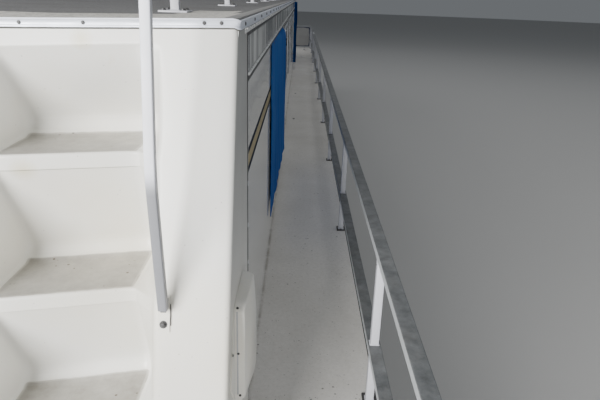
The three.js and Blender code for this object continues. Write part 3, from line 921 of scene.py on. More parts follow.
@dataclass(frozen=True)
class NonSkid(Finish):
    """Moulded non-skid: grains, clouds of dirt, dark specks and a brown line along the cabin."""

    base: Colour = (0.74, 0.72, 0.69)
    dirt: Colour = (0.52, 0.5, 0.46)
    specks: Colour = (0.07, 0.06, 0.05)
    grain: float = 420
    relief: float = 0.0009
    wall: float = CABIN_HALF

    def paint(self, brush: Brush) -> bpy.types.Material:
        """Cloudy dirt over the base, specks of three sizes, wet patches forward, grains as relief.

        Args:
            brush: builds the material.

        Returns:
            The material.
        """
        clouds = brush.between(brush.noise(2.1, 6, 0.65), 0.4, 0.75, 0, 0.55)
        mottled = brush.mix(brush.between(brush.noise(60, 4, 0.7), 0.35, 0.7, 0, 0.4), self.base, self.dirt)
        colour = brush.mix(clouds, mottled, self.dirt)
        for size, share, weight in ((26, 0.12, 0.7), (55, 0.14, 0.6), (120, 0.2, 0.4)):
            colour = brush.mix(brush.times(brush.specks(size, share), weight), colour, self.specks)
        away = brush.size_of(brush.minus(brush.size_of(brush.part(Axis.Y)), self.wall))
        line = brush.times(brush.between(away, 0.011, 0.002, 0, 0.5),
                           brush.between(brush.noise(14, 5, 0.7), 0.35, 0.6))
        colour = brush.mix(line, colour, (0.12, 0.09, 0.05))
        brush.bumps((brush.noise(self.grain, 3, 0.6), self.relief))
        wet = brush.times(brush.between(brush.noise(1.9, 4), 0.42, 0.6),
                          brush.between(brush.part(Axis.X), -2.5, 0.5))
        return brush.set(Base_Color=colour, Roughness=brush.between(wet, 0, 1, 0.8, 0.28))


@dataclass(frozen=True)
class RoofCoat(Finish):
    """Grey sanded coating, bare and speckled along the aft end, dull grey along the sides."""

    base: Colour = (0.1, 0.1, 0.102)
    light: Colour = (0.185, 0.185, 0.187)
    bare: Colour = (0.55, 0.535, 0.5)
    aft: float = -5.7
    fore: float = 5.9
    margin: float = 0.16
    spread: Span = (0.7, 1.28)
    patch: Place = (-4.96, 1.5925, 0.0725)
    side: float = 1.69

    def paint(self, brush: Brush) -> bpy.types.Material:
        """The bare part ends at a line that turns forward outboard, and has a patch further forward.

        How far a point lies inside the bare part is the greatest of its depth inside the aft margin,
        inside the patch and inside the fore margin, with a slight wander.

        Args:
            brush: builds the material.

        Returns:
            The material.
        """
        along, off = brush.part(Axis.X), brush.size_of(brush.part(Axis.Y))
        outward = brush.most(brush.minus(off, self.spread[1]), 0.0)
        reach = brush.plus(brush.times(outward, self.spread[0]), self.aft + self.margin)
        end, middle, half = self.patch
        patch = brush.least(brush.minus(end, along),
                            brush.minus(half, brush.size_of(brush.minus(off, middle))))
        ahead = brush.minus(along, self.fore - 0.035)
        inside = brush.most(brush.most(brush.minus(reach, along), patch), ahead)
        edge = brush.plus(inside, brush.between(brush.noise(9, 3), 0, 1, -0.008, 0.008))
        mottled = brush.mix(brush.between(brush.noise(130, 5, 0.8), 0.36, 0.66), self.base, self.light)
        dirty = brush.mix(brush.between(brush.noise(3, 5), 0.5, 0.8, 0, 0.5), mottled, (0.07, 0.066, 0.06))
        worn = brush.mix(brush.between(brush.noise(70, 5, 0.8), 0.46, 0.62, 0, 0.75), self.bare,
                         (0.24, 0.235, 0.22))
        coated = brush.mix(brush.between(edge, -0.003, 0.003), dirty, worn)
        colour = brush.mix(brush.between(off, self.side - 0.002, self.side + 0.002), coated,
                           (0.25, 0.25, 0.245))
        brush.bumps((brush.noise(380, 3, 0.7), 0.0011))
        return brush.set(Base_Color=colour, Roughness=0.85)


@dataclass(frozen=True)
class Metal(Finish):
    """Painted, anodised or bare metal: handling marks, fine brushing, duller clouds, and painted shade where
    marked.
    """

    base: Colour = (0.72, 0.73, 0.76)
    marks: Colour = (0.45, 0.45, 0.45)
    metal: float = 0.0
    gloss: float = 0.35
    wear: float = 0.35

    def paint(self, brush: Brush) -> bpy.types.Material:
        """Noise clouds dull the colour, thin long noise makes brushed marks. A mark paints shade: it darkens
        the colour.

        Args:
            brush: builds the material.

        Returns:
            The material.
        """
        clouds = brush.between(brush.noise(11, 5, 0.6), 0.42, 0.75, 0, self.wear)
        worn = brush.mix(clouds, self.base, self.marks)
        # Painted shade: where a piece is marked, the colour goes towards a third of its base.
        colour = brush.mix(brush.mark(), worn, tuple(c * 0.3 for c in self.base))
        rough = brush.between(brush.noise(30, 4), 0.3, 0.7, self.gloss, self.gloss + 0.2)
        brush.bumps((brush.noise(90, 3, 0.6, (0.08, 1, 1)), 0.00015))
        return brush.set(Base_Color=colour, Roughness=rough, Metallic=self.metal)


@dataclass(frozen=True)
class RailPaint(Finish):
    """Rail paint that is dark grey on the level top faces."""

    base: Colour = (0.4, 0.42, 0.44)
    top: Colour = (0.07, 0.075, 0.078)
    heights: tuple[float, ...] = (RAIL_TOP[1], RAIL_MIDDLE[1], ROOF_RAIL_TOP[1], ROOF_RAIL_MIDDLE[1])

    def paint(self, brush: Brush) -> bpy.types.Material:
        """Each rail's top height less a thumb's width shows the dark top colour, broken up by noise.

        Args:
            brush: builds the material.

        Returns:
            The material.
        """
        worn = 0.0
        for height in self.heights:
            worn = brush.most(worn, brush.band(Axis.Z, height, 0.0022, 0.0006))
        scuffed = brush.between(brush.noise(24, 5, 0.7), 0.35, 0.8, 1, 0.7)
        streaks = brush.mix(brush.between(brush.noise(8, 5, 0.65), 0.45, 0.75, 0, 0.5), self.top,
                            (0.19, 0.19, 0.185))
        colour = brush.mix(brush.times(worn, scuffed), self.base, streaks)
        brush.bumps((brush.noise(120, 3), 0.0002))
        return brush.set(Base_Color=colour, Roughness=0.45)


@dataclass(frozen=True)
class Canvas(Finish):
    """Woven cloth: crossing threads in the cloth's own coordinates, faded along the folds."""

    base: Colour = (0.001, 0.085, 0.37)
    faded: Colour = (0.008, 0.15, 0.47)
    threads: float = 520
    sheen: float = 0.02
    rough: float = 0.9
    shine: float = 0.15

    def paint(self, brush: Brush) -> bpy.types.Material:
        """Two sets of waves at right angles make the weave; noise fades the dye.

        Args:
            brush: builds the material.

        Returns:
            The material.
        """
        waves = []
        for across in ("X", "Y"):
            wave = brush.node("TexWave", wave_type="BANDS", bands_direction=across)
            wave.inputs["Scale"].default_value = self.threads / 20
            wave.inputs["Distortion"].default_value = 0.6
            brush.feed(wave.inputs["Vector"], brush.place(source="UV"))
            waves.append(wave.outputs["Fac"])
        weave = brush.times(*waves)
        fade = brush.between(brush.noise(3, 4, 0.6, (1, 1, 0.4)), 0.35, 0.75, 0, 0.7)
        colour = brush.mix(fade, self.base, self.faded)
        shaded = brush.mix(brush.between(weave, 0, 1, 0.25, 0), colour, tuple(c * 0.4 for c in self.base))
        brush.bumps((brush.noise(9, 3), 0.003), (weave, 0.0003))
        return brush.set(Base_Color=shaded, Roughness=self.rough, Sheen_Weight=self.sheen,
                         Sheen_Roughness=0.5, Specular_IOR_Level=self.shine)


@dataclass(frozen=True)
class Upholstery(Finish):
    """Grained vinyl or coarse cloth on cushions: cells as grain, dirt in clouds."""

    base: Colour = (0.56, 0.52, 0.44)
    soiled: Colour = (0.4, 0.35, 0.27)
    grain: float = 300

    def paint(self, brush: Brush) -> bpy.types.Material:
        """Scattered cells give the grain's relief, noise soils the colour.

        Args:
            brush: builds the material.

        Returns:
            The material.
        """
        soil = brush.between(brush.noise(7, 5, 0.6), 0.4, 0.8, 0, 0.6)
        grain = brush.cells(self.grain)
        colour = brush.mix(soil, self.base, self.soiled)
        fine = brush.mix(brush.between(grain, 0, 0.5, 0, 0.15), colour, self.soiled)
        brush.bumps((grain, 0.0005), (brush.noise(12, 2), 0.002))
        return brush.set(Base_Color=fine, Roughness=0.55, Sheen_Weight=0.1)


@dataclass(frozen=True)
class Glazing(Finish):
    """Dark tinted glass with a faint ripple and dried water marks."""

    tint: Colour = (0.022, 0.03, 0.033)
    clear: float = 0.2

    def paint(self, brush: Brush) -> bpy.types.Material:
        """A dark, partly see-through gloss with marks that roughen it.

        Args:
            brush: builds the material.

        Returns:
            The material.
        """
        marks = brush.between(brush.noise(14, 5, 0.7, (1, 1, 0.3)), 0.5, 0.8, 0.03, 0.16)
        colour = brush.mix(brush.between(brush.noise(5, 4), 0.4, 0.8, 0, 0.3), self.tint, (0.08, 0.09, 0.09))
        brush.bumps((brush.noise(1.5, 1), 0.0015))
        return brush.set(Base_Color=colour, Roughness=marks, Alpha=1 - self.clear)


@dataclass(frozen=True)
class Timber(Finish):
    """Varnished teak: stretched rings of colour along the grain."""

    base: Colour = (0.23, 0.11, 0.045)
    dark: Colour = (0.1, 0.045, 0.018)
    stretch: Place = (0.15, 1, 1)

    def paint(self, brush: Brush) -> bpy.types.Material:
        """Noise drawn out along the grain colours and raises it.

        Args:
            brush: builds the material.

        Returns:
            The material.
        """
        grain = brush.noise(34, 6, 0.65, self.stretch)
        pores = brush.noise(260, 2, 0.5, self.stretch)
        colour = brush.mix(brush.between(grain, 0.35, 0.68), self.base, self.dark)
        streaked = brush.mix(brush.between(pores, 0.55, 0.75, 0, 0.5), colour, self.dark)
        brush.bumps((grain, 0.0004), (pores, 0.0002))
        return brush.set(Base_Color=streaked, Roughness=0.32, Coat_Weight=0.3)


GELCOAT = Gelcoat("moulded_gelcoat")
CABIN_WHITE = Gelcoat("cabin_white", base=(0.74, 0.735, 0.7), gloss=0.24, stain=0.3)
# The steps' coat paints shade on the upper outboard side of the unit.
STEP_COAT = Gelcoat("step_gelcoat", shade=0.62,
                    spots=((-5.72, -1.40, 2.155, 0.03), (-5.79, -1.275, 1.878, 0.035)))
HULL_COAT = HullCoat("hull_gelcoat")
CABIN_COAT = Banded("cabin_gelcoat")
DECK_GRIP = NonSkid("deck_nonskid")
SOLE_GRIP = NonSkid("sole_nonskid", base=(0.56, 0.55, 0.52), wall=1.66)
ROOF_GRIP = RoofCoat("roof_coating")
POST_WHITE = Metal("post_white", base=(0.53, 0.54, 0.59), marks=(0.42, 0.42, 0.42), wear=0.3)
HANDRAIL_PAINT = Metal("handrail_paint", base=(0.85, 0.87, 0.95), marks=(0.66, 0.67, 0.72), gloss=0.3,
                       wear=0.25)
RAIL_DARK_TOPS = RailPaint("rail_paint")
DULL_RAIL = Metal("dull_rail", base=(0.5, 0.51, 0.54), marks=(0.36, 0.36, 0.37), metal=0.2, gloss=0.4,
                  wear=0.6)
TRIM_METAL = Metal("trim_aluminium", base=(0.72, 0.76, 0.86), marks=(0.55, 0.56, 0.6), metal=0.25, gloss=0.28)
BRIGHT_TRIM = Metal("bright_trim", base=(0.82, 0.83, 0.83), marks=(0.5, 0.5, 0.48), gloss=0.2)
DARK_TRIM = Metal("dark_trim", base=(0.045, 0.045, 0.048), marks=(0.1, 0.1, 0.1), gloss=0.35)
BARE_METAL = Metal("bare_aluminium", base=(0.6, 0.62, 0.66), marks=(0.42, 0.43, 0.45), metal=0.55, gloss=0.3)
STEEL = Metal("stainless", base=(0.62, 0.63, 0.64), marks=(0.4, 0.4, 0.4), metal=1.0, gloss=0.16)
BRONZE = Metal("bronze", base=(0.44, 0.28, 0.1), marks=(0.16, 0.2, 0.12), metal=0.85, gloss=0.35, wear=0.8)
DARK_SCREW = Metal("dark_screws", base=(0.06, 0.06, 0.062), marks=(0.03, 0.028, 0.025), gloss=0.45, wear=0.6)
FIXING = Metal("fixings", base=(0.09, 0.09, 0.093), marks=(0.09, 0.08, 0.07), metal=0.6, gloss=0.4, wear=0.7)
RUBBER = Metal("rubber", base=(0.022, 0.022, 0.024), marks=(0.05, 0.05, 0.05), gloss=0.55)
PLASTIC = Metal("black_plastic", base=(0.02, 0.02, 0.021), marks=(0.045, 0.045, 0.045), gloss=0.4)
ENGINE_PAINT = Metal("engine_paint", base=(0.05, 0.11, 0.09), marks=(0.03, 0.03, 0.028), gloss=0.4, wear=0.7)
EXHAUST = Metal("exhaust_castings", base=(0.16, 0.07, 0.035), marks=(0.05, 0.03, 0.02), gloss=0.6, wear=0.9)
# The sealant's dark grey is partly its own colour and partly painted shade from under the roof trim.
SHADED_SEALANT = Metal("sealant", base=(0.2, 0.195, 0.18), marks=(0.08, 0.08, 0.07), gloss=0.6, wear=0.8)
BLUE_CANVAS = Canvas("blue_canvas")
NAVY_BINDING = Canvas("navy_binding", base=(0.003, 0.014, 0.07), faded=(0.008, 0.03, 0.12))
PALE_CLOTH = Canvas("pale_cloth", base=(0.4, 0.4, 0.4), faded=(0.48, 0.48, 0.475), threads=420, rough=0.5,
                    shine=0.4)
CUSHION_VINYL = Upholstery("cushion_vinyl")
SETTEE_CLOTH = Upholstery("settee_cloth", base=(0.3, 0.24, 0.17), soiled=(0.2, 0.15, 0.1), grain=420)
TINTED = Glazing("tinted_glass")
DOOR_GLASS = Glazing("door_glass", clear=0.35)
TEAK = Timber("teak")
RED_LENS = Metal("red_lens", base=(0.45, 0.01, 0.01), marks=(0.2, 0.01, 0.01), gloss=0.12)
GREEN_LENS = Metal("green_lens", base=(0.01, 0.3, 0.06), marks=(0.01, 0.15, 0.04), gloss=0.12)


class Shop:
    """Turns skins and frame nodes into finished pieces."""

    @staticmethod
    def make(name: str, skin: Skin, finish: Finish, slot: str, body: str = ROOT, bevel: float = 0,
             replaces: Sequence[str] = (), sharp: float = 35, segments: int = 3) -> bpy.types.Object:
        """A piece from a skin, riding on a body.

        Args:
            name: the piece's name.
            skin: its mesh.
            finish: its finish.
            slot: the record's material slot; not used.
            body: the frame body that it rides on.
            bevel: width of a live bevel on its sharp edges, or 0.
            replaces: the frame nodes that it stands for.
            sharp: edges bent more than this many degrees stay sharp.
            segments: faces across the bevel.

        Returns:
            The object.
        """
        mesh = bpy.data.meshes.new(name)
        mesh.from_pydata(skin.points.tolist(), [], skin.quads.tolist() + skin.ngons)
        if skin.uv.any():
            corners = np.empty(len(mesh.loops), int)
            mesh.loops.foreach_get("vertex_index", corners)
            mesh.uv_layers.new(name="cloth").data.foreach_set("uv", skin.uv[corners].ravel())
        if skin.mark.any():
            mesh.attributes.new("mark", "FLOAT", "POINT").data.foreach_set("value", skin.mark)
        mesh.validate()
        return Shop.finish(name, mesh, finish, slot, body, bevel, replaces, sharp, segments)

    @staticmethod
    def finish(name: str, mesh: bpy.types.Mesh, finish: Finish, slot: str, body: str, bevel: float,
               replaces: Sequence[str], sharp: float, segments: int = 3) -> bpy.types.Object:
        """Shades a mesh, adds finish and bevel, and lets it ride.

        Args:
            name: the piece's name.
            mesh: its mesh.
            finish: its finish.
            slot: the record's material slot; not used.
            body: the frame body that it rides on.
            bevel: width of the live bevel, or 0.
            replaces: the frame nodes that it stands for.
            sharp: edges bent more than this many degrees stay sharp.
            segments: faces across the bevel.

        Returns:
            The object.
        """
        mesh.shade_smooth()
        mesh.set_sharp_from_angle(angle=math.radians(sharp))
        mesh.materials.append(finish.material())
        piece = linked(name, mesh)
        if bevel:
            soft = piece.modifiers.new("edges", "BEVEL")
            soft.width = bevel
            soft.segments = segments
            soft.limit_method = "ANGLE"
            soft.angle_limit = math.radians(sharp)
            soft.harden_normals = True
        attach(piece, body)
        if replaces:
            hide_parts(*replaces)
        LOG.info("%s: %d points on %s", name, len(mesh.vertices), body)
        return piece

    @staticmethod
    def soften(node: str, finish: Finish, slot: str, bevel: float = 0.003, sharp: float = 30,
               segments: int = 2) -> bpy.types.Object:
        """A frame node's own shape, merged, with its edges rounded, standing for the node.

        Args:
            node: the frame node.
            finish: its finish.
            slot: the record's material slot; not used.
            bevel: width of the rounding, or 0.
            sharp: edges bent more than this many degrees are rounded.
            segments: faces across the rounding.

        Returns:
            The object.
        """
        work = bmesh.new()
        work.from_mesh(NODES[node].data)
        bmesh.ops.remove_doubles(work, verts=work.verts, dist=2e-5)
        bmesh.ops.dissolve_limit(work, angle_limit=math.radians(0.4), verts=work.verts, edges=work.edges)
        work.verts.index_update()
        points = [vertex.co[:] for vertex in work.verts]
        faces = [[vertex.index for vertex in face.verts] for face in work.faces]
        work.free()
        mesh = bpy.data.meshes.new(f"{node}_skin")
        mesh.from_pydata(points, [], faces)
        return Shop.finish(f"{node}_skin", mesh, finish, slot, NODES[node]["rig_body"], bevel, [node], sharp,
                           segments)

    @staticmethod
    def dress(node: str, finish: Finish) -> None:
        """Gives a frame node that stays shown its finish.

        Args:
            node: the frame node.
            finish: its finish.
        """
        NODES[node].data.materials.clear()
        NODES[node].data.materials.append(finish.material())
        LOG.info("%s keeps its shape", node)


def bolt_head(radius: float = 0.0065, washer: float = 0.01) -> Skin:
    """A domed bolt head on a washer, pointing up: two short drums of few sides.

    Args:
        radius: the head's radius.
        washer: the washer's radius.

    Returns:
        The closed skins in one.
    """
    return fused([turned([(washer, 0), (washer, 0.0012), (washer * 0.93, 0.0018)], 12),
                  turned([(radius, 0.001), (radius, 0.004), (radius * 0.72, 0.0062), (radius * 0.2, 0.0068)],
                         10)])


def pan_screw(radius: float = 0.0045) -> Skin:
    """A small pan head screw pointing up: a drum that closes to a dome."""
    return turned([(radius, 0), (radius, 0.0012), (radius * 0.75, 0.0024), (radius * 0.15, 0.0028)], 10)


@dataclass
class Studio:
    """The camera at the photograph's place, a pale floor at the waterline and soft light."""

    eye: Place = (-6.92, -1.86, 2.25)
    tilt: tuple[float, float, float] = (69.903, -1.77, -89.806)
    focal: float = 555
    frame: float = 600
    sensor: float = 36

    def camera(self) -> None:
        """A camera. Its lens is the focal length in pixels times the sensor's width over the frame's."""
        data = bpy.data.cameras.new("camera")
        data.sensor_width = self.sensor
        data.lens = self.focal / self.frame * self.sensor
        data.clip_start = 0.02
        data.clip_end = 300
        camera = linked("camera", data)
        camera.location = self.eye
        camera.rotation_euler = [math.radians(angle) for angle in self.tilt]
        bpy.context.scene.camera = camera

    def floor(self) -> None:
        """A pale disc at the waterline."""
        rim = oval(90, 90, 96)
        mesh = bpy.data.meshes.new("floor")
        mesh.from_pydata([(*point, 0) for point in rim.tolist()], [], [list(range(len(rim)))])
        mesh.materials.append(Brush("floor").set(Base_Color=(0.46, 0.46, 0.455), Roughness=0.9))
        floor = linked("floor", mesh)

    def light(self, name: str, spot: Sequence[float], aim: Sequence[float], size: float, power: float,
              colour: Colour = (1, 1, 1)) -> None:
        """A soft square light.

        Args:
            name: its name.
            spot: where it hangs.
            aim: the point that it faces.
            size: its side in metres.
            power: its power in watts.
            colour: its colour.
        """
        data = bpy.data.lights.new(name, "AREA")
        data.size = size
        data.energy = power
        data.color = colour
        turn = facing(np.subtract(spot, aim))
        lamp = linked(name, data)
        lamp.location = spot
        lamp.rotation_euler = (math.atan2(turn[2, 1], turn[2, 2]), -math.asin(turn[2, 0]),
                               math.atan2(turn[1, 0], turn[0, 0]))

    def build(self) -> None:
        """Camera, floor, lights and a grey sky."""
        self.camera()
        self.floor()
        self.light("key", (-13, 2.5, 4.3), (-5.5, -1, 1.3), 5, 2000, (1, 0.99, 0.965))
        self.light("quarter", (-9.4, -3.6, 1.3), (-5.9, -1.9, 0.95), 1.2, 52, (1, 0.995, 0.98))
        self.light("sky", (1, 0, 18), (0, 0, 0), 22, 1050)
        self.light("port", (3, 18, 9), (0, 0, 1), 14, 900)
        self.light("bow", (20, -3, 10), (6.5, -0.8, 1), 6, 45, (0.97, 0.98, 1))
        self.light("starboard", (2, -20, 10), (0, 0, 1), 16, 220, (0.96, 0.98, 1))
        world = bpy.data.worlds.new("sky")
        world.use_nodes = True
        background = world.node_tree.nodes["Background"]
        background.inputs[0].default_value = (0.6, 0.64, 0.68, 1)
        background.inputs[1].default_value = 0.24
        bpy.context.scene.world = world


@dataclass
class QuarterUnit:
    """A raked moulding at one quarter. The starboard one holds the steps up to the roof."""

    side: Side = Side.STARBOARD
    inner: float = 1.05
    outer: float = CABIN_HALF
    well: float = 1.6597
    rake: float = AFT_RAKE
    face_x: float = AFT_FACE_X
    face_z: float = AFT_FACE_Z
    back: float = -5.5003
    deck: float = DECK_Z
    sole: float = SOLE_Z
    top: float = 2.1685
    fin: Span = (-5.7003, 2.1675)
    edge: float = 0.014
    lip_z: float = 2.1425
    tilt: float = 0.045
    tilt_from: float = -1.398
    pocket: Span = (-1.578, -1.203)
    nosings: tuple[float, ...] = (1.918, 1.631, 1.344, 1.057, 0.770)
    tread: float = 0.217
    nose: float = 0.035
    cant: float = 13.5
    cant_from: float = -1.24
    cant_z: Span = (1.95, 2.12)
    outer_wall: Place = (0.014, 0.05, 0.03)
    inner_wall: Place = (0.008, 0.001, 0.022)
    corner: float = 0.032
    squeeze_from: float = 1.6

    def face(self, z: np.ndarray) -> np.ndarray:
        """x of the raked face: a straight line in height."""
        return self.face_x - (self.face_z - z) * self.rake

    def profile(self) -> tuple[np.ndarray, np.ndarray, np.ndarray]:
        """The steps' side view from the unit's top to its foot.

        Each step is a riser, a cove, a tread, a nosing and the lip under it. The chain's corners are
        rounded, and it is then cut at even lengths and at its own points. Between two nosings the
        height on the plain face falls with the mean of the chain's own fall and its length.

        Returns:
            Its (x, z) points, the height on the plain face for each, and a mark of 1 on treads.
        """
        face, foot, top = self.face, self.sole, self.fin[1]
        corners = [(face(top), top), (face(self.lip_z), self.lip_z)]
        radii = [0, 0.007]
        for z in self.nosings:
            corners += [(face(z) + self.tread, z), (face(z), z), (face(z) + 0.002, z - self.nose),
                        (face(z) + 0.008, z - self.nose - 0.002)]
            radii += [0.036, 0.006, 0.0035, 0.0025]
        corners += [(face(foot) + self.tread, foot + 0.008), (face(foot), foot)]
        chain = rounded_chain(corners, radii + [0.03, 0], 8)
        run = np.concatenate([[0], np.cumsum(np.linalg.norm(np.diff(chain, axis=0), axis=1))])
        cuts = np.unique(np.concatenate([np.arange(0, run[-1], 0.0075), run]).round(6))
        x, z = np.interp(cuts, run, chain[:, 0]), np.interp(cuts, run, chain[:, 1])
        knots = np.array([top, self.lip_z, *self.nosings, foot])
        spots = np.array([np.argmin(np.hypot(x - face(knot), z - knot)) for knot in knots])
        number = np.clip(np.searchsorted(spots, np.arange(len(z)), side="right") - 1, 0, len(knots) - 2)
        first, last = spots[number], spots[number + 1]
        fallen = (z[first] - z) / (z[first] - z[last])
        along = (cuts - cuts[first]) / (cuts[last] - cuts[first])
        share = np.clip((fallen + along) / 2, 0, 1)
        plain = knots[number] + (knots[number + 1] - knots[number]) * share
        level = ease((0.68 - np.abs(np.gradient(z, cuts))) / 0.15) * ease((x - face(z) - 0.004) / 0.006)
        return np.stack([x, z], 1), plain, level

    def wall(self, mouth: float, draft: float, cove: float, steps: int = 9) -> tuple[np.ndarray, np.ndarray]:
        """A side wall of the hollow, as width and sink.

        It leaves the face in a quarter ellipse, runs in straight with a little draft, and meets the
        steps in a wider quarter ellipse.

        Args:
            mouth: width of the first quarter ellipse.
            draft: how far the straight part leans.
            cove: width of the last quarter ellipse.
            steps: points on each quarter ellipse.

        Returns:
            Distance from the mouth's edge, and the share of the hollow's depth.
        """
        angle = np.linspace(0, math.pi / 2, steps)
        first, last = 0.08, 0.16
        straight = np.linspace(0, 1, 6)[1:-1]
        width = np.concatenate([mouth * np.sin(angle), mouth + draft * straight,
                                mouth + draft + cove * (1 - np.cos(angle))])
        sink = np.concatenate([first * (1 - np.cos(angle)), first + (1 - first - last) * straight,
                               1 - last + last * np.sin(angle)])
        return width, sink

    def across(self, stepped: bool) -> tuple[np.ndarray, np.ndarray, np.ndarray]:
        """Places across the face from the outer edge to the inner one.

        Args:
            stepped: whether the face has the hollow.

        Returns:
            y, how far back the rounded edges put it, and the sink into the hollow.
        """
        angle = np.linspace(0, math.pi / 2, 7)
        outer_y = -self.outer + self.edge * (1 - np.cos(angle))
        inner_y = -self.inner - self.edge * (1 - np.cos(angle))
        back = self.edge * (1 - np.sin(angle))
        if stepped:
            width, sink = self.wall(*self.outer_wall)
            width_in, sink_in = self.wall(*self.inner_wall)
            plain = np.linspace(outer_y[-1], self.pocket[0], 8)[1:-1]
            floor = np.linspace(self.pocket[0] + width[-1], self.pocket[1] - width_in[-1], 18)[1:-1]
            plain_in = np.linspace(self.pocket[1], inner_y[-1], 8)[1:-1]
            y = np.concatenate([plain, self.pocket[0] + width, floor, self.pocket[1] - width_in[::-1],
                                plain_in])
            deep = np.concatenate([plain * 0, sink, floor * 0 + 1, sink_in[::-1], plain_in * 0])
        else:
            y = np.linspace(outer_y[-1], inner_y[-1], 16)[1:-1]
            deep = y * 0
        edge = np.zeros(len(angle))
        return (np.concatenate([outer_y, y, inner_y[::-1]]), np.concatenate([back, y * 0, back[::-1]]),
                np.concatenate([edge, deep, edge]))

    def shell(self) -> Skin:
        """The whole unit as closed plan outlines from its top to its foot.

        Across the hollow a point lies between the plain raked face and the steps' side view by its
        sink. The steps are canted: they lie deeper outboard. The hollow's upper edge leans, and its
        upper corners are drawn down by a circle's rise. The face's top follows the roof's crown.

        Returns:
            The closed skin.
        """
        stepped = self.side is Side.STARBOARD
        chain, plain_z, level = self.profile()
        if not stepped:
            kept = np.linspace(0, len(chain) - 1, 30).astype(int)
            chain, plain_z, level = chain[kept], plain_z[kept], level[kept]
        y, back, sink = self.across(stepped)
        step_z, top = chain[:, 1:], self.fin[1]
        canted = np.maximum(self.cant_from - y, 0) * math.tan(math.radians(self.cant))
        fade = ease((self.cant_z[1] - step_z) / np.ptp(self.cant_z))
        step_x = np.maximum(chain[:, :1] + canted * fade, self.face(step_z))
        middle, half = np.mean(self.pocket), np.ptp(self.pocket) / 2
        reach = np.clip((np.abs(y - middle) - half + self.corner) / self.corner, 0, 1)
        leaning = self.tilt * (y - self.tilt_from)
        fall = (self.corner * (1 - np.sqrt(1 - reach ** 2)) + leaning) * (sink > 0)
        near = np.where(step_z > self.lip_z, ease((top - step_z) / (top - self.lip_z)),
                        ease((step_z - self.nosings[0] - 0.01) / (self.lip_z - self.nosings[0] - 0.03)))
        raised = crown(y) * np.clip((plain_z[:, None] - self.lip_z) / (top - self.lip_z), 0, 1)
        shift = raised - fall * near
        x = self.face(plain_z)[:, None] * (1 - sink) + step_x * sink + shift * self.rake + back
        z = plain_z[:, None] * (1 - sink) + step_z * sink + shift
        squeeze = (self.well - self.squeeze_from) / (self.outer - self.squeeze_from)
        below = (plain_z < self.deck)[:, None] & (np.abs(y) > self.squeeze_from)
        wide = np.where(below, -self.squeeze_from + (y + self.squeeze_from) * squeeze, y)
        fin = np.full((3, 1), self.fin[0])
        x = np.vstack([np.maximum(fin + 0 * y, x[0] + 0.004) + [[0], [0], [-0.0015]], x])
        z = np.vstack([np.full(y.shape, self.top), top - 0.001 + crown(y), top + crown(y), z])
        wide = np.vstack([wide[:1].repeat(3, 0), wide])
        plain_z = np.concatenate([[self.top, self.top - 0.0003, self.top - 0.0006],
                                  np.minimum(plain_z, self.top - 0.0009)])
        rows = len(x)
        rest_y = np.stack([np.full(rows, -self.inner), np.full(rows, -self.inner - 0.2), wide[:, 0] + 0.1,
                           wide[:, 0]], 1)
        points = np.stack([np.hstack([x, np.full((rows, 4), self.back)]), np.hstack([wide, rest_y]),
                           np.hstack([z, np.repeat(plain_z[:, None], 4, 1)])], -1)
        columns = points.shape[1]
        caps = [list(range(columns))[::-1], list(range((rows - 1) * columns, rows * columns))]
        mark = np.zeros((rows, columns))
        mark[3:, :len(y)] = level[:, None] * ease((sink - 0.95) / 0.04)
        return Skin(points, grid_quads(rows, columns, wrap=True), caps, mark=mark.ravel())

    def build(self) -> None:
        """The moulding, stepped to starboard and plain to port, and a strip under the roof trim."""
        filler = block((-5.6985, self.back), (self.outer - 0.0005, self.outer + 0.0008),
                       (self.top - 0.002, self.top + 0.0128))
        Shop.make(f"quarter_filler_{self.side.tag}", filler.on(self.side), STEP_COAT, "moulding_gelcoat")
        if self.side is Side.STARBOARD:
            Shop.make("steps_moulding", self.shell(), STEP_COAT, "moulding_gelcoat", replaces=["steps_unit"],
                      sharp=60)
        else:
            Shop.make("quarter_moulding_port", self.shell().on(Side.STARBOARD), GELCOAT, "moulding_gelcoat",
                      replaces=["quarter_unit_port"], sharp=60)


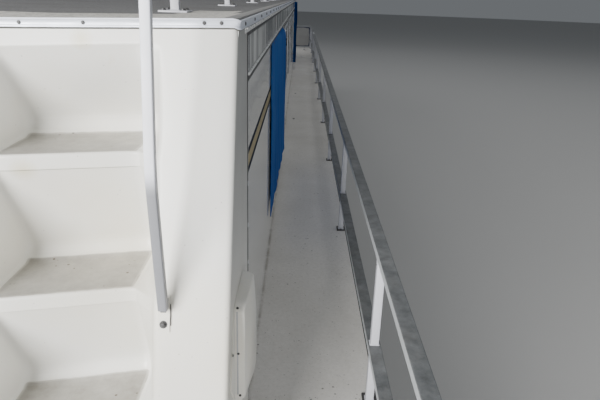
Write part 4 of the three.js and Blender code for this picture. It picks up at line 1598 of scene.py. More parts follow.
@dataclass
class VentBox:
    """A moulded box low on a quarter unit's side, its foot cut aslant, on a thin screwed flange."""

    side: Side
    wall: float = 1.7283
    proud: float = 0.0305
    thin: float = 0.78
    base: tuple[Span, ...] = ((1.33, -5.83), (1.593, -5.83), (1.583, -5.634), (1.455, -5.578),
                              (1.3, -5.566), (1.248, -5.598))
    front: tuple[Span, ...] = ((1.342, -5.8285), (1.587, -5.8285), (1.578, -5.65), (1.45, -5.592),
                               (1.302, -5.58), (1.262, -5.604))
    radii: tuple[float, ...] = (0.022, 0.03, 0.022, 0.05, 0.03, 0.03)
    flange: tuple[Span, ...] = ((1.36, -5.86), (1.435, -5.918), (1.588, -5.838), (1.588, -5.82),
                                (1.36, -5.82))
    groove_y: Span = (1.733, 1.7368)
    screws: tuple[Span, ...] = ((1.736, 1.588), (1.737, 1.466), (1.7405, 1.348))

    def body(self) -> Skin:
        """The box.

        Its outline goes over from the one on the wall to the one on its front as a quarter ellipse
        does, and it stands further out towards its forward end.

        Returns:
            The closed skin.
        """
        outer = rounded(self.base, [0.7 * r for r in self.radii], 6)
        inner = rounded(self.front, self.radii, 6)
        aft, fore = self.base[0][1], self.base[2][1]
        rings = []
        for rise in (0, 0.4, 0.62, 0.78, 0.89, 0.96, 1):
            ring = outer + (inner - outer) * (1 - math.sqrt(1 - rise ** 2))
            share = (ring[:, 1] - aft) / (fore - aft)
            out = self.wall + rise * self.proud * (self.thin + (1 - self.thin) * share)
            rings.append(at_level(ring, out))
        return stacked(rings, Axis.Y)

    def build(self) -> None:
        """The box and its flange, a groove down its aft face, and screws in both."""
        name = f"vent_box_{self.side.tag}"
        flange = rounded(self.flange, 0.01, 4)
        plate = slab(flange, Axis.Y, (self.wall - 0.0003, self.wall + 0.0022))
        aft = self.base[0][1]
        groove = block((aft - 0.0004, aft + 0.001), self.groove_y,
                       (self.base[0][0] + 0.02, self.base[1][0] - 0.016))
        screw = pan_screw(0.0032)
        screws = [screw.moved(facing((-1, 0, 0)), (aft, y, z)) for y, z in self.screws]
        screws.append(screw.moved(facing((0, 1, 0)), (-5.888, self.wall + 0.0022, 1.502)))
        Shop.make(f"{name}_moulding", self.body().on(self.side), GELCOAT, "moulding_gelcoat", replaces=[name],
                  sharp=60)
        Shop.make(f"{name}_flange", plate.on(self.side), GELCOAT, "moulding_gelcoat", bevel=0.0008)
        Shop.make(f"{name}_groove", groove.on(self.side), DULL_RAIL, "moulding_gelcoat")
        Shop.make(f"{name}_screws", fused(screws).on(self.side), DARK_SCREW, "stainless")


@dataclass
class Handrail:
    """The stair handrail: a bent square tube on a bolted foot, level at the top to the roof rail."""

    tube: float = 0.0195
    corners: tuple[Place, ...] = (
        (-5.915, -1.591, 1.633), (-5.96, -1.595, 1.933), (-5.828, -1.5935, 2.9345), (-5.224, -1.4915, 2.9345))
    reach: tuple[float, ...] = (0, 0.045, 0.05, 0)
    face_x: float = AFT_FACE_X
    face_z: float = AFT_FACE_Z
    rake: float = AFT_RAKE
    foot_y: Span = (-1.6015, -1.576)
    foot_z: Span = (1.575, 1.65)
    bolt: Span = (-1.588, 1.591)
    dull_z: Span = (1.95, 1.9)

    def build(self) -> None:
        """The tube, with painted shade towards its foot and on its outer side, the foot with a painted shadow
        strip on its outer edge and a tab, and its bolt.
        """
        half = self.tube / 2
        outline = soft_box((-half, half), (-half, half), 0.003, 4)
        path = bent(self.corners, self.reach, 9)
        tube = sweep(outline, path, (0, 1, 0))
        centre = np.repeat(path, len(outline), axis=0)
        # Painted shade: the mark darkens the tube towards its foot and, more strongly, on its outboard face.
        dull = ease((self.dull_z[0] - centre[:, 2]) / (self.dull_z[0] - self.dull_z[1]))
        outer = 0.72 * (tube.points[:, 1] < centre[:, 1] - half * 0.97)
        tube = Skin(tube.points, tube.quads, tube.ngons, mark=np.maximum(dull, outer))
        middle = sum(self.foot_z) / 2
        low, high = self.foot_z[0] - middle, self.foot_z[1] - middle
        shear = np.array([[1, 0, self.rake], [0, 1, 0], [0, 0, 1]])
        face = self.face_x - (self.face_z - middle) * self.rake
        spot = (face, 0, middle)
        # The thin dark block on the foot's outer edge is a painted shadow; the last block is a tab under the
        # tube.
        shadow_edge_y = (self.foot_y[0] - 0.0012, self.foot_y[0])
        foot = [block((-0.003, -0.0005), self.foot_y, (low, high)).moved(shear, spot),
                block((-0.005, -0.0005), shadow_edge_y, (-0.024, 0.019)).moved(shear, spot),
                block((-0.022, -0.002), (-1.597, -1.585), (0.012, 0.032)).moved(shear, spot)]
        y, z = self.bolt
        out = np.array([-1, 0, self.rake])
        bolt = bolt_head(0.0052, 0.0085).moved(facing(out),
                                               (self.face_x - (self.face_z - z) * self.rake - 0.003, y, z))
        Shop.make("handrail_tube", tube, HANDRAIL_PAINT, "rail_aluminium", replaces=["stair_handrail"])
        Shop.make("handrail_foot", foot[0], GELCOAT, "rail_aluminium", bevel=0.0005)
        Shop.make("handrail_foot_edge", fused(foot[1:]), FIXING, "rail_aluminium", bevel=0.0003)
        Shop.make("handrail_bolt", bolt, DARK_SCREW, "stainless")


@dataclass
class Rail:
    """A straight rail: square posts on bolted foot plates, a flat top rail and a flat middle rail."""

    name: str
    along: Axis
    ends: Span
    posts: Sequence[float]
    line: float
    foot: float = DECK_Z
    top: Span = RAIL_TOP
    middle: Span = RAIL_MIDDLE
    tube: float = RAIL_TUBE
    wide: float = 0.038
    plate: Span = (0.058, 0.045)
    thick: float = 0.005

    def oriented(self, run: Sequence[float], across: Sequence[float], z: Sequence[float]) -> Skin:
        """A bar from a span along the rail, one across it and one of height."""
        return block(run, across, z) if self.along is Axis.X else block(across, run, z)

    def spot(self, place: float, z: float = 0) -> np.ndarray:
        """A point on the rail's line."""
        return np.array([place, self.line, z] if self.along is Axis.X else [self.line, place, z])

    def build(self) -> None:
        """Rails, posts, welded collars, plates and bolts."""
        half, side = self.tube / 2, self.wide / 2
        across = (self.line - side, self.line + side)
        rails = [self.oriented(self.ends, across, height) for height in (self.top, self.middle)]
        square = soft_box((-half, half), (-half, half), 0.0025, 3)
        lower = slab(square, Axis.Z, (self.foot + self.thick, self.middle[0] + 0.001))
        upper = slab(square, Axis.Z, (self.middle[1] - 0.001, self.top[0] + 0.001))
        places = [self.spot(place) for place in self.posts]
        plate_x, plate_y = self.plate
        plate = tablet((-plate_x / 2, plate_x / 2), (-plate_y / 2, plate_y / 2), 0.004,
                       [(0, self.foot), (0, self.foot + self.thick - 0.001), (0.001, self.foot + self.thick)],
                       steps=3)
        weld = fused([stacked([at_level(square * (1 + size), height)
                               for size, height in ((0.22, base), (0.02, base + 0.003))])
                      for base in (self.foot + self.thick, self.middle[1])])
        big = min(self.plate) > 0.06
        if big:
            offsets = [(i * (plate_x / 2 - 0.014), j * (plate_y / 2 - 0.014))
                       for i in (-1, 1) for j in (-1, 1)]
        elif plate_y > plate_x:
            offsets = [(0, j * (plate_y / 2 - 0.0045)) for j in (-1, 1)]
        else:
            offsets = [(i * (plate_x / 2 - 0.0045), 0) for i in (-1, 1)]
        bolt = bolt_head(0.0055, 0.009) if big else bolt_head(0.0028, 0.0042)
        bolts = [bolt.moved(by=(*offset, self.foot + self.thick)) for offset in offsets]
        Shop.make(f"{self.name}_rails", fused(rails), RAIL_DARK_TOPS, "rail_aluminium", bevel=0.0022,
                  replaces=[self.name])
        Shop.make(f"{self.name}_posts", fused([lower, upper, weld]).repeated(places), POST_WHITE,
                  "rail_aluminium")
        Shop.make(f"{self.name}_feet", plate.repeated(places), POST_WHITE if big else FIXING,
                  "rail_aluminium")
        Shop.make(f"{self.name}_bolts", fused(bolts).repeated(places), FIXING, "stainless")


@dataclass
class Rails:
    """All the fixed rails of the decks and the roof."""

    line: float = RAIL_LINE
    side_posts: Sequence[float] = tuple(-6.865 + 1.39 * k for k in range(9))
    fore_posts: Sequence[float] = (5.04, 6.22, 7.4)
    roof_posts: Sequence[float] = (-5.2, -3.99, -2.5, -1.01, 0.48, 1.97, 3.46)
    stern_x: float = STERN_RAIL_X
    bow_x: float = 7.56
    corner: float = 0.0193
    end: float = 2.1315

    def build(self) -> None:
        """Side, foredeck, bow, stern and roof rails."""
        half = RAIL_TUBE / 2
        narrow = {"plate": (0.045, 0.028)}
        roof = {"foot": ROOF_Z + 0.0003, "top": ROOF_RAIL_TOP, "middle": ROOF_RAIL_MIDDLE,
                "plate": (0.085, 0.085)}
        for side in Side:
            aft_end = self.roof_posts[0] - half if side is Side.STARBOARD else -5.32 + self.corner
            Rail(f"side_rail_{side.tag}", Axis.X, (self.stern_x + self.corner, self.side_posts[-1] + half),
                 self.side_posts, side.value * self.line).build()
            Rail(f"foredeck_rail_{side.tag}", Axis.X, (self.fore_posts[0] - half, self.bow_x - self.corner),
                 self.fore_posts, side.value * self.line).build()
            Rail(f"roof_rail_{side.tag}", Axis.X, (aft_end, 3.57 - self.corner), self.roof_posts,
                 side.value * 1.49, **roof).build()
        Rail("bow_rail", Axis.Y, (-self.end, self.end), (-2.1, -1.05, 0, 1.05, 2.1), self.bow_x,
             plate=(0.045, 0.04)).build()
        Rail("stern_rail_starboard", Axis.Y, (-self.end, 1.035), (-2.1, -1.06, -0.02, 1.02), self.stern_x,
             **narrow).build()
        Rail("stern_rail_port", Axis.Y, (1.672, self.end), (1.69, 2.1), self.stern_x, **narrow).build()
        Rail("roof_rail_aft", Axis.Y, (-0.945, 1.509), (-0.932, 0.249, 1.43), -5.32, **roof).build()
        Rail("roof_rail_front", Axis.Y, (-1.509, 1.509), (-1.38, 0, 1.38), 3.57, **roof).build()


@dataclass
class Gates:
    """The two gates in the side rails and the gate across the transom gap, with hinges and latches."""

    x: Span = (4.2815, 5.0195)
    line: float = RAIL_LINE
    tube: float = RAIL_TUBE
    heights: tuple[Span, ...] = (RAIL_TOP, RAIL_MIDDLE, (1.11, 1.135))
    stern_y: Span = (1.046, 1.646)
    stern_x: float = STERN_RAIL_X

    def side_gate(self, side: Side) -> None:
        """A framed gate with two hinge barrels and a latch.

        Args:
            side: the gate's side.
        """
        half = self.tube / 2
        body = f"{side.tag}_gate"
        wide = side.span(self.line - half, self.line + half)
        bars = [block(self.x, wide, height) for height in self.heights]
        stiles = [block((x, x + self.tube), wide, (self.heights[2][0], self.heights[0][1]))
                  for x in (self.x[0], sum(self.x) / 2 - half, self.x[1] - self.tube)]
        barrel = turned([(0.005, 0), (0.006, 0.002), (0.006, 0.048), (0.005, 0.05)], 12)
        hinges = [barrel.moved(by=(self.x[0] - 0.0045, side.value * self.line, z)) for z in (1.15, 1.48)]
        latch = tablet((-0.02, 0.02), (-0.006, 0.006), 0.004, soft_levels(0, 0.008, 0.002), steps=3)
        latch = latch.moved(by=(self.x[1] - 0.02, side.value * self.line, self.heights[0][1]))
        Shop.make(f"gate_{side.tag}_frame", fused(bars + stiles), DULL_RAIL, "rail_aluminium", body, 0.0025,
                  [f"gate_{side.tag}"])
        Shop.make(f"gate_{side.tag}_fittings", fused(hinges + [latch]), STEEL, "stainless", body)

    def transom_gate(self) -> None:
        """A moulded panel with a recessed field under a tube frame."""
        x = (self.stern_x - 0.015, self.stern_x + 0.015)
        panel = tablet(self.stern_y, (0.605, 1.045), 0.012, [(0, x[0]), (0, x[1])], Axis.X)
        field_ = tablet((self.stern_y[0] + 0.06, self.stern_y[1] - 0.06), (0.67, 0.98), 0.03,
                        [(0, x[1] - 0.002), (0.006, x[1] + 0.006), (0.012, x[1] + 0.008)], Axis.X)
        frame = [block(x, self.stern_y, RAIL_TOP)] + [
            block(x, (y, y + self.tube), (1.04, RAIL_TOP[0]))
            for y in (self.stern_y[0], self.stern_y[1] - self.tube)]
        Shop.make("stern_gate_panel", fused([panel, field_]), GELCOAT, "moulding_gelcoat", "transom_gate",
                  0.003, ["stern_gate"])
        Shop.make("stern_gate_frame", fused(frame), DULL_RAIL, "rail_aluminium", "transom_gate", 0.0025)

    def build(self) -> None:
        """All three gates."""
        for side in Side:
            self.side_gate(side)
        self.transom_gate()


@dataclass
class Roof:
    """The roof: a coated slab, an aluminium edge trim with screws, a sealant line and canopy posts."""

    x: Span = (-5.7, 5.9)
    half: float = CABIN_HALF
    z: Span = (2.1695, ROOF_Z)
    corner: float = 0.01
    trim_z: Span = (2.171, 2.1898)
    trim_out: float = 0.007
    rise: float = -0.0078
    side_drop: float = 0.005
    fade: float = 0.16
    screw_pitch: float = 0.133

    def plan(self, out: float, step: float = 0.09) -> np.ndarray:
        """The roof's outline moved out by a distance, its straight parts cut into even steps.

        Args:
            out: how far it is moved out, below 0 for in.
            step: about the length of a part.

        Returns:
            N by 2 points. N is the same whatever the distance.
        """
        corners = rectangle((self.x[0] - out, self.x[1] + out), (-self.half - out, self.half + out))
        ring = rounded(corners, max(self.corner + out, 0.004), 7)
        after = np.roll(ring, -1, 0)
        sides = np.tile([0, 0, 0, 0, 0, 0, np.ptp(self.x), 0, 0, 0, 0, 0, 0, 2 * self.half], 2)
        counts = [max(1, round(side / step)) if number % 7 == 6 else 1 for number, side in enumerate(sides)]
        return np.concatenate([a + (b - a) * np.linspace(0, 1, count + 1)[:-1, None]
                               for a, b, count in zip(ring, after, counts)])

    def build(self) -> None:
        """Slab, trim, screws, sealant and the canopy posts.

        The slab's rings are drawn in step by step, and each is lifted by the edge's own rise, which
        fades out inwards.
        """
        low, high = self.z
        levels = [(0.004, low, 0), (0, low + 0.003, 0.1), (0, high - 0.004, 1), (0.0015, high - 0.001, 1),
                  (0.004, high, 1),
                  (0.03, high, 1), (0.06, high, 1), (0.1, high, 1), (0.14, high, 1), (0.2, high, 1)]
        rings = []
        for inset, height, share in levels:
            plan = self.plan(-inset)
            lifted = (crown(plan[:, 1]) + self.rise) * share * (1 - ease(np.float64(inset / self.fade)))
            rings.append(at_level(plan, height + lifted))
        Shop.make("roof_slab", stacked(rings), ROOF_GRIP, "roof_nonskid", replaces=["roof"], sharp=60)
        tall, out = self.trim_z[1] - self.trim_z[0], self.trim_out
        trim = rounded([(0, 0), (out, 0), (out, 0.0035), (out - 0.0012, 0.0045),
                        (out - 0.0012, tall - 0.0045),
                        (out, tall - 0.0035), (out, tall), (0, tall)], 0.0005, 2)
        ring = self.plan(0.0002)
        dropped = self.side_drop * ease((np.abs(ring[:, 1]) - self.half + self.corner) / self.corner)
        path = at_level(ring, self.trim_z[0] + crown(ring[:, 1]) - dropped)
        Shop.make("roof_edge_trim", sweep(trim, path, closed=True), TRIM_METAL, "rail_aluminium", sharp=30)
        # The sealant bead is darkened as painted shade under the trim.
        Shop.make("roof_sealant", sweep(oval(0.0045, 0.0016, 8), path - [0, 0, 0.0017], closed=True), SHADED_SEALANT,
                  "roof_nonskid")
        screw = pan_screw(0.0042)
        front = self.trim_out - 0.001
        aft = np.array([*np.arange(-1.137, 1.7, self.screw_pitch), -1.2705, -1.4045, -1.534, -1.658, -1.694])
        along = np.arange(self.x[0] + 0.09, self.x[1] - 0.05, self.screw_pitch * 2)
        middle = sum(self.trim_z) / 2
        side_y = self.half + front
        level = middle - self.side_drop + float(crown(np.array([side_y]))[0])
        rows = [screw.moved(facing((-1, 0, 0))).repeated([(self.x[0] - front, y, z)
                                                          for y, z in zip(aft, middle + crown(aft))]),
                screw.moved(facing((1, 0, 0))).repeated([(self.x[1] + front, y, z)
                                                         for y, z in zip(aft, middle + crown(aft))]),
                screw.moved(facing((0, -1, 0))).repeated([(x, -side_y, level) for x in along]),
                screw.moved(facing((0, 1, 0))).repeated([(x, side_y, level) for x in along])]
        Shop.make("roof_trim_screws", fused(rows), DARK_SCREW, "stainless")
        for side in Side:
            Shop.soften(f"canopy_post_{side.tag}", POST_WHITE, "rail_aluminium", 0.004)
            feet = [tablet((5.755, 5.845), (1.655, 1.731), 0.008, soft_levels(*span, 0.002)) for span in
                    ((DECK_Z, DECK_Z + 0.006), (2.163, 2.1687))]
            Shop.make(f"canopy_post_feet_{side.tag}", fused(feet).on(side), POST_WHITE, "rail_aluminium")


@dataclass
class CabinSide:
    """A cabin side: its wall, gutter, trim lines, aft seam with clips, and framed windows."""

    side: Side
    x: Span = (-5.5, 3.88)
    wall: float = CABIN_HALF
    windows: tuple[Span, ...] = ((-4.28, -2.98), (-2.45, -1.25), (-0.65, 0.55), (1.5, 2.9))
    window_z: Span = (1.45, 2.02)
    top: float = 2.1686
    trim_z: float = 2.06
    seam_z: Span = (1.27, 2.165)

    def strip(self, z: Span, proud: float, start: float = 0.002) -> Skin:
        """A level strip along the whole wall, proud of it."""
        return block((self.x[0] + start, self.x[1] - 0.002), (self.wall, self.wall + proud), z)

    def gutter(self) -> Skin:
        """A gutter under the roof's side trim: an upright web on the wall and a thin lip.

        Returns:
            The closed skin.
        """
        w, low, lip = self.wall + 0.0005, self.top - 0.0036, self.top + 0.0069
        outline = np.array([(w, low), (w + 0.0015, low), (w + 0.0015, lip), (w + 0.008, lip),
                            (w + 0.008, lip + 0.0035), (w, lip + 0.0035)])
        return slab(outline, Axis.X, (self.x[0] - 0.06, self.x[1] - 0.002))

    def window(self, ends: Span, proud: float) -> tuple[Skin, Skin]:
        """A window's frame and the rubber inside it.

        Args:
            ends: the opening's aft and forward ends.
            proud: how far the frame stands out of the wall.

        Returns:
            The frame and the rubber, each an outline carried round the opening.
        """
        ring = filled(soft_box(self.window_z, ends, 0.06, 8), 0.3, (0, 0.02, 0.98))
        path = np.column_stack([ring[:, 1], np.full(len(ring), self.wall), ring[:, 0]])
        frame = soft_box((-0.026, 0.006), (-0.004, proud), min(0.003, proud), 3)
        rubber = soft_box((0.001, 0.011), (-0.012, proud * 0.6), 0.002, 3)
        up = (0, 1, 0)
        return sweep(frame, path, up, closed=True), sweep(rubber, path, up, closed=True)

    def build(self) -> None:
        """Wall, gutter, trims, seam, clips, frames and glass."""
        side, tag = self.side, self.side.tag
        Shop.soften(f"cabin_side_{tag}", CABIN_COAT, "cabin_gelcoat", 0.004)
        Shop.make(f"gutter_{tag}", self.gutter().on(side), BRIGHT_TRIM, "rail_aluminium", bevel=0.0006)
        dark = [self.strip((self.top - 0.012, self.top - 0.0034), 0.003),
                self.strip((self.trim_z - 0.013, self.trim_z), 0.004)]
        light = [self.strip((self.trim_z, self.trim_z + 0.006), 0.006)]
        seam = block((self.x[0] - 0.001, self.x[0] + 0.006), (self.wall - 0.001, self.wall + 0.002),
                     self.seam_z)
        clip = tablet((-0.0065, 0.0065), (-0.0042, 0.0042), 0.003, soft_levels(0, 0.003, 0.001), Axis.Y, 3)
        clips = clip.repeated([(self.x[0], self.wall + 0.001, z) for z in (1.54, 1.653, 1.774)])
        line = block((self.x[0] + 0.0075, self.x[0] + 0.0105), (self.wall - 0.001, self.wall + 0.0018),
                     self.seam_z)
        Shop.make(f"dark_trims_{tag}", fused(dark + [seam]).on(side), DARK_TRIM, "cabin_gelcoat", bevel=0.001)
        Shop.make(f"light_trim_{tag}", fused(light).on(side), BRIGHT_TRIM, "rail_aluminium", bevel=0.0015)
        Shop.make(f"seam_line_{tag}", line.on(side), BRIGHT_TRIM, "rail_aluminium", bevel=0.0005)
        Shop.make(f"seam_clips_{tag}", clips.on(side), DULL_RAIL, "rail_aluminium")
        heights = [0.0014 if side is Side.STARBOARD and not number else 0.006
                   for number in range(len(self.windows))]
        frames, rubbers = zip(*map(self.window, self.windows, heights))
        Shop.make(f"window_frames_{tag}", fused(frames).on(side), BARE_METAL, "rail_aluminium", sharp=30)
        Shop.make(f"window_rubbers_{tag}", fused(rubbers).on(side), RUBBER, "wheel_plastic", sharp=30)
        bars = [block((middle - 0.014, middle + 0.014), (self.wall - 0.012, self.wall + proud / 2),
                      self.window_z)
                for middle, proud in zip((sum(ends) / 2 for ends in self.windows), heights)]
        Shop.make(f"window_bars_{tag}", fused(bars).on(side), BARE_METAL, "rail_aluminium", bevel=0.002)
        Shop.dress(f"side_glazing_{tag}", TINTED)


@dataclass
class CabinEnds:
    """The cabin's end bulkheads with the aft sliding door, the front door and the front windows."""

    front_x: float = 3.88
    front_window_y: Span = (0.52, 1.56)
    front_window_z: Span = (1.1, 2.02)

    def framed(self, x: Span, y: Span, z: Span, frame: float, body: str, name: str, node: str) -> None:
        """A glazed door: a frame with soft edges round a pane.

        Args:
            x: span of its thickness.
            y: span of its width.
            z: span of its height.
            frame: width of its frame.
            body: the body that it rides on.
            name: the pieces' first word.
            node: the frame node that it stands for.
        """
        middle_z = z[0] + (z[1] - z[0]) * 0.42
        bars = [block(x, (y[0], y[0] + frame), z), block(x, (y[1] - frame, y[1]), z),
                block(x, (y[0] + frame, y[1] - frame), (z[0], z[0] + frame * 1.6)),
                block(x, (y[0] + frame, y[1] - frame), (z[1] - frame, z[1])),
                block(x, (y[0] + frame, y[1] - frame), (middle_z, middle_z + frame))]
        pane_x = (sum(x) / 2 - 0.003, sum(x) / 2 + 0.003)
        pane = block(pane_x, (y[0] + frame - 0.005, y[1] - frame + 0.005),
                     (z[0] + frame, z[1] - frame + 0.005))
        Shop.make(f"{name}_frame", fused(bars), BARE_METAL, "rail_aluminium", body, 0.0025, [node])
        Shop.make(f"{name}_pane", pane, DOOR_GLASS, "door_glass", body, 0.001)

    def build(self) -> None:
        """Bulkheads, doors, handles and front windows."""
        for node in ("bulkhead_aft", "bulkhead_front"):
            Shop.soften(node, CABIN_WHITE, "cabin_gelcoat", 0.004)
        self.framed((-5.532, -5.507), (-0.72, 0.07), (0.601, 2.1), 0.045, "aft_door", "aft_door", "door_aft")
        self.framed((3.848, 3.876), (-0.364, 0.364), (0.36, 2.067), 0.05, "front_door", "front_door",
                    "door_front")
        pull = sweep(oval(0.005, 0.005, 10),
                     bent([(0, 0, -0.09), (-0.022, 0, -0.09), (-0.022, 0, 0.09), (0, 0, 0.09)], 0.018),
                     (0, 1, 0))
        Shop.make("aft_door_pull", pull.moved(by=(-5.532, 0.045, 1.45)), STEEL, "stainless", "aft_door")
        ahead = np.diag([-1.0, -1.0, 1.0])
        Shop.make("front_door_pull", pull.moved(ahead, (3.876, 0.335, 1.2)), STEEL, "stainless", "front_door")
        tracks = [block((-5.5325, -5.5035), (-0.74, 0.86), z) for z in ((2.102, 2.112), (0.5942, 0.5995))]
        Shop.make("aft_door_tracks", fused(tracks), BARE_METAL, "rail_aluminium", bevel=0.001)
        for side in Side:
            ring = filled(soft_box(self.front_window_y, self.front_window_z, 0.06, 8), 0.3, (0, 0.02, 0.98))
            path = np.column_stack([np.full(len(ring), self.front_x), ring])
            frame = sweep(soft_box((-0.006, 0.026), (-0.004, 0.006), 0.003, 3), path, (1, 0, 0), closed=True)
            Shop.make(f"front_window_frame_{side.tag}", frame.on(side), BARE_METAL, "rail_aluminium",
                      sharp=30)
            Shop.dress(f"front_glazing_{side.tag}", TINTED)


@dataclass
class Hull:
    """The hull's coat, its rubbing rail with a metal insert, and skin fittings."""

    half: float = 2.135
    bow: float = 7.62
    transom: float = -7.1
    corner: float = 0.15
    rail_z: float = 1.003
    chine: Span = (1.94, -0.11)
    sheer: Span = (2.095, 0.96)

    def edge(self) -> np.ndarray:
        """The deck's edge in plan from the starboard quarter round the bow to the port quarter.

        Returns:
            N by 3 places at the height of the rub rail.
        """
        corners = [(self.transom, -self.half), (self.bow, -self.half), (self.bow, self.half),
                   (self.transom, self.half)]
        plan = rounded_chain(corners, [0, self.corner, self.corner, 0], 10)
        dense = [plan[:1]]
        for start, end in zip(plan, plan[1:]):
            share = np.linspace(0, 1, 8 if np.linalg.norm(end - start) > 1 else 2)[1:, None]
            dense.append(start + (end - start) * share)
        plan = np.concatenate(dense)
        return at_level(plan, self.rail_z)

    def build(self) -> None:
        """Hull, rail, insert, and outlets with flanges."""
        Shop.soften("hull", HULL_COAT, "hull_gelcoat", 0, 40)
        rail = rounded([(0, -0.032), (0.014, -0.032), (0.022, -0.02), (0.022, 0.02), (0.014, 0.032),
                        (0, 0.032)], 0.006, 4)
        insert = rounded([(0.02, -0.011), (0.026, -0.008), (0.026, 0.008), (0.02, 0.011)], 0.002, 3)
        path = self.edge()
        Shop.make("rub_rail", sweep(rail, path), RUBBER, "wheel_plastic", sharp=40)
        Shop.make("rub_rail_insert", sweep(insert, path[1:-1]), BARE_METAL, "rail_aluminium", sharp=40)
        share = (0.42 - self.chine[1]) / (self.sheer[1] - self.chine[1])
        y = self.chine[0] + (self.sheer[0] - self.chine[0]) * share
        outlet = turned([(0.034, 0), (0.034, 0.003), (0.03, 0.008), (0.022, 0.01), (0.018, 0.002)], 20)
        lean = math.atan2(self.sheer[0] - self.chine[0], self.sheer[1] - self.chine[1])
        out = (0, math.cos(lean), -math.sin(lean))
        outlets = outlet.moved(facing(out)).repeated([(x, y, 0.42) for x in (-5.2, -4.9, -2.1, 0.6)])
        for side in Side:
            Shop.make(f"outlets_{side.tag}", outlets.on(side), BARE_METAL, "hull_gelcoat")


@dataclass
class Decks:
    """Side decks, foredeck, stern deck and engine hatch, with mooring cleats and deck plates."""

    cleat_x: Span = (-6.64, 6.9)
    cleat_y: float = 1.95
    pad: float = 1.06

    def cleat(self) -> Skin:
        """A cleat: a foot, two legs and a bar whose horns taper to both ends.

        Returns:
            The skin, its foot at z = 0.
        """
        foot = tablet((-0.07, 0.07), (-0.024, 0.024), 0.02, soft_levels(0, 0.008, 0.003))
        leg = turned([(0.013, 0.006), (0.01, 0.02), (0.0095, 0.036), (0.012, 0.05)], 14)
        x = np.linspace(-0.12, 0.12, 25)
        bar = np.column_stack([x, x * 0, 0.052 + 0.35 * x ** 2])
        horn = sweep(oval(0.0105, 0.0085, 14), bar, swell=np.sqrt(1 - (x / 0.1225) ** 2) * 0.75 + 0.25)
        return fused([foot, leg.repeated([(-0.035, 0, 0), (0.035, 0, 0)]), horn])

    def build(self) -> None:
        """Decks, cleats and fillers."""
        for node in ("side_deck_starboard", "side_deck_port", "foredeck"):
            Shop.soften(node, DECK_GRIP, "deck_nonskid", 0.004)
        Shop.soften("stern_deck", SOLE_GRIP, "deck_nonskid", 0.004)
        Shop.soften("engine_hatch", SOLE_GRIP, "deck_nonskid", 0.003)
        places = [(x, y, self.pad) for x in self.cleat_x for y in (-self.cleat_y, self.cleat_y)]
        Shop.make("mooring_cleats", self.cleat().repeated(places), STEEL, "stainless")
        cap = fused([turned([(0.03, 0), (0.03, 0.002), (0.028, 0.003)], 24),
                     turned([(0.021, 0.002), (0.02, 0.005), (0.017, 0.0055)], 20)])
        Shop.make("deck_fillers",
                  cap.repeated([(-4.6, 1.86, DECK_Z), (-4.35, 1.86, DECK_Z), (5.3, -1.9, DECK_Z)]),
                  BARE_METAL, "rail_aluminium")
        drain = tablet((-0.022, 0.022), (-0.011, 0.011), 0.01, [(0, 0), (0, 0.001), (0.0012, 0.0022)])
        spots = [(x, side.value * 1.811, DECK_Z) for side in Side for x in (-1.165, 0.46)]
        Shop.make("deck_drains", drain.repeated(spots), FIXING, "stainless")
        ring = fused([tablet((-0.05, 0.05), (-0.03, 0.03), 0.012, [(0, 0), (0.001, 0.002)]),
                      sweep(oval(0.003, 0.003, 8),
                            bent([(-0.03, 0.012, 0.004), (-0.03, -0.018, 0.004), (0.03, -0.018, 0.004),
                                  (0.03, 0.012, 0.004)], 0.01))])
        Shop.make("hatch_pulls", ring.repeated([(-6.8, y, SOLE_Z) for y in (-0.5, 0.5)]), STEEL, "stainless",
                  "hatch")


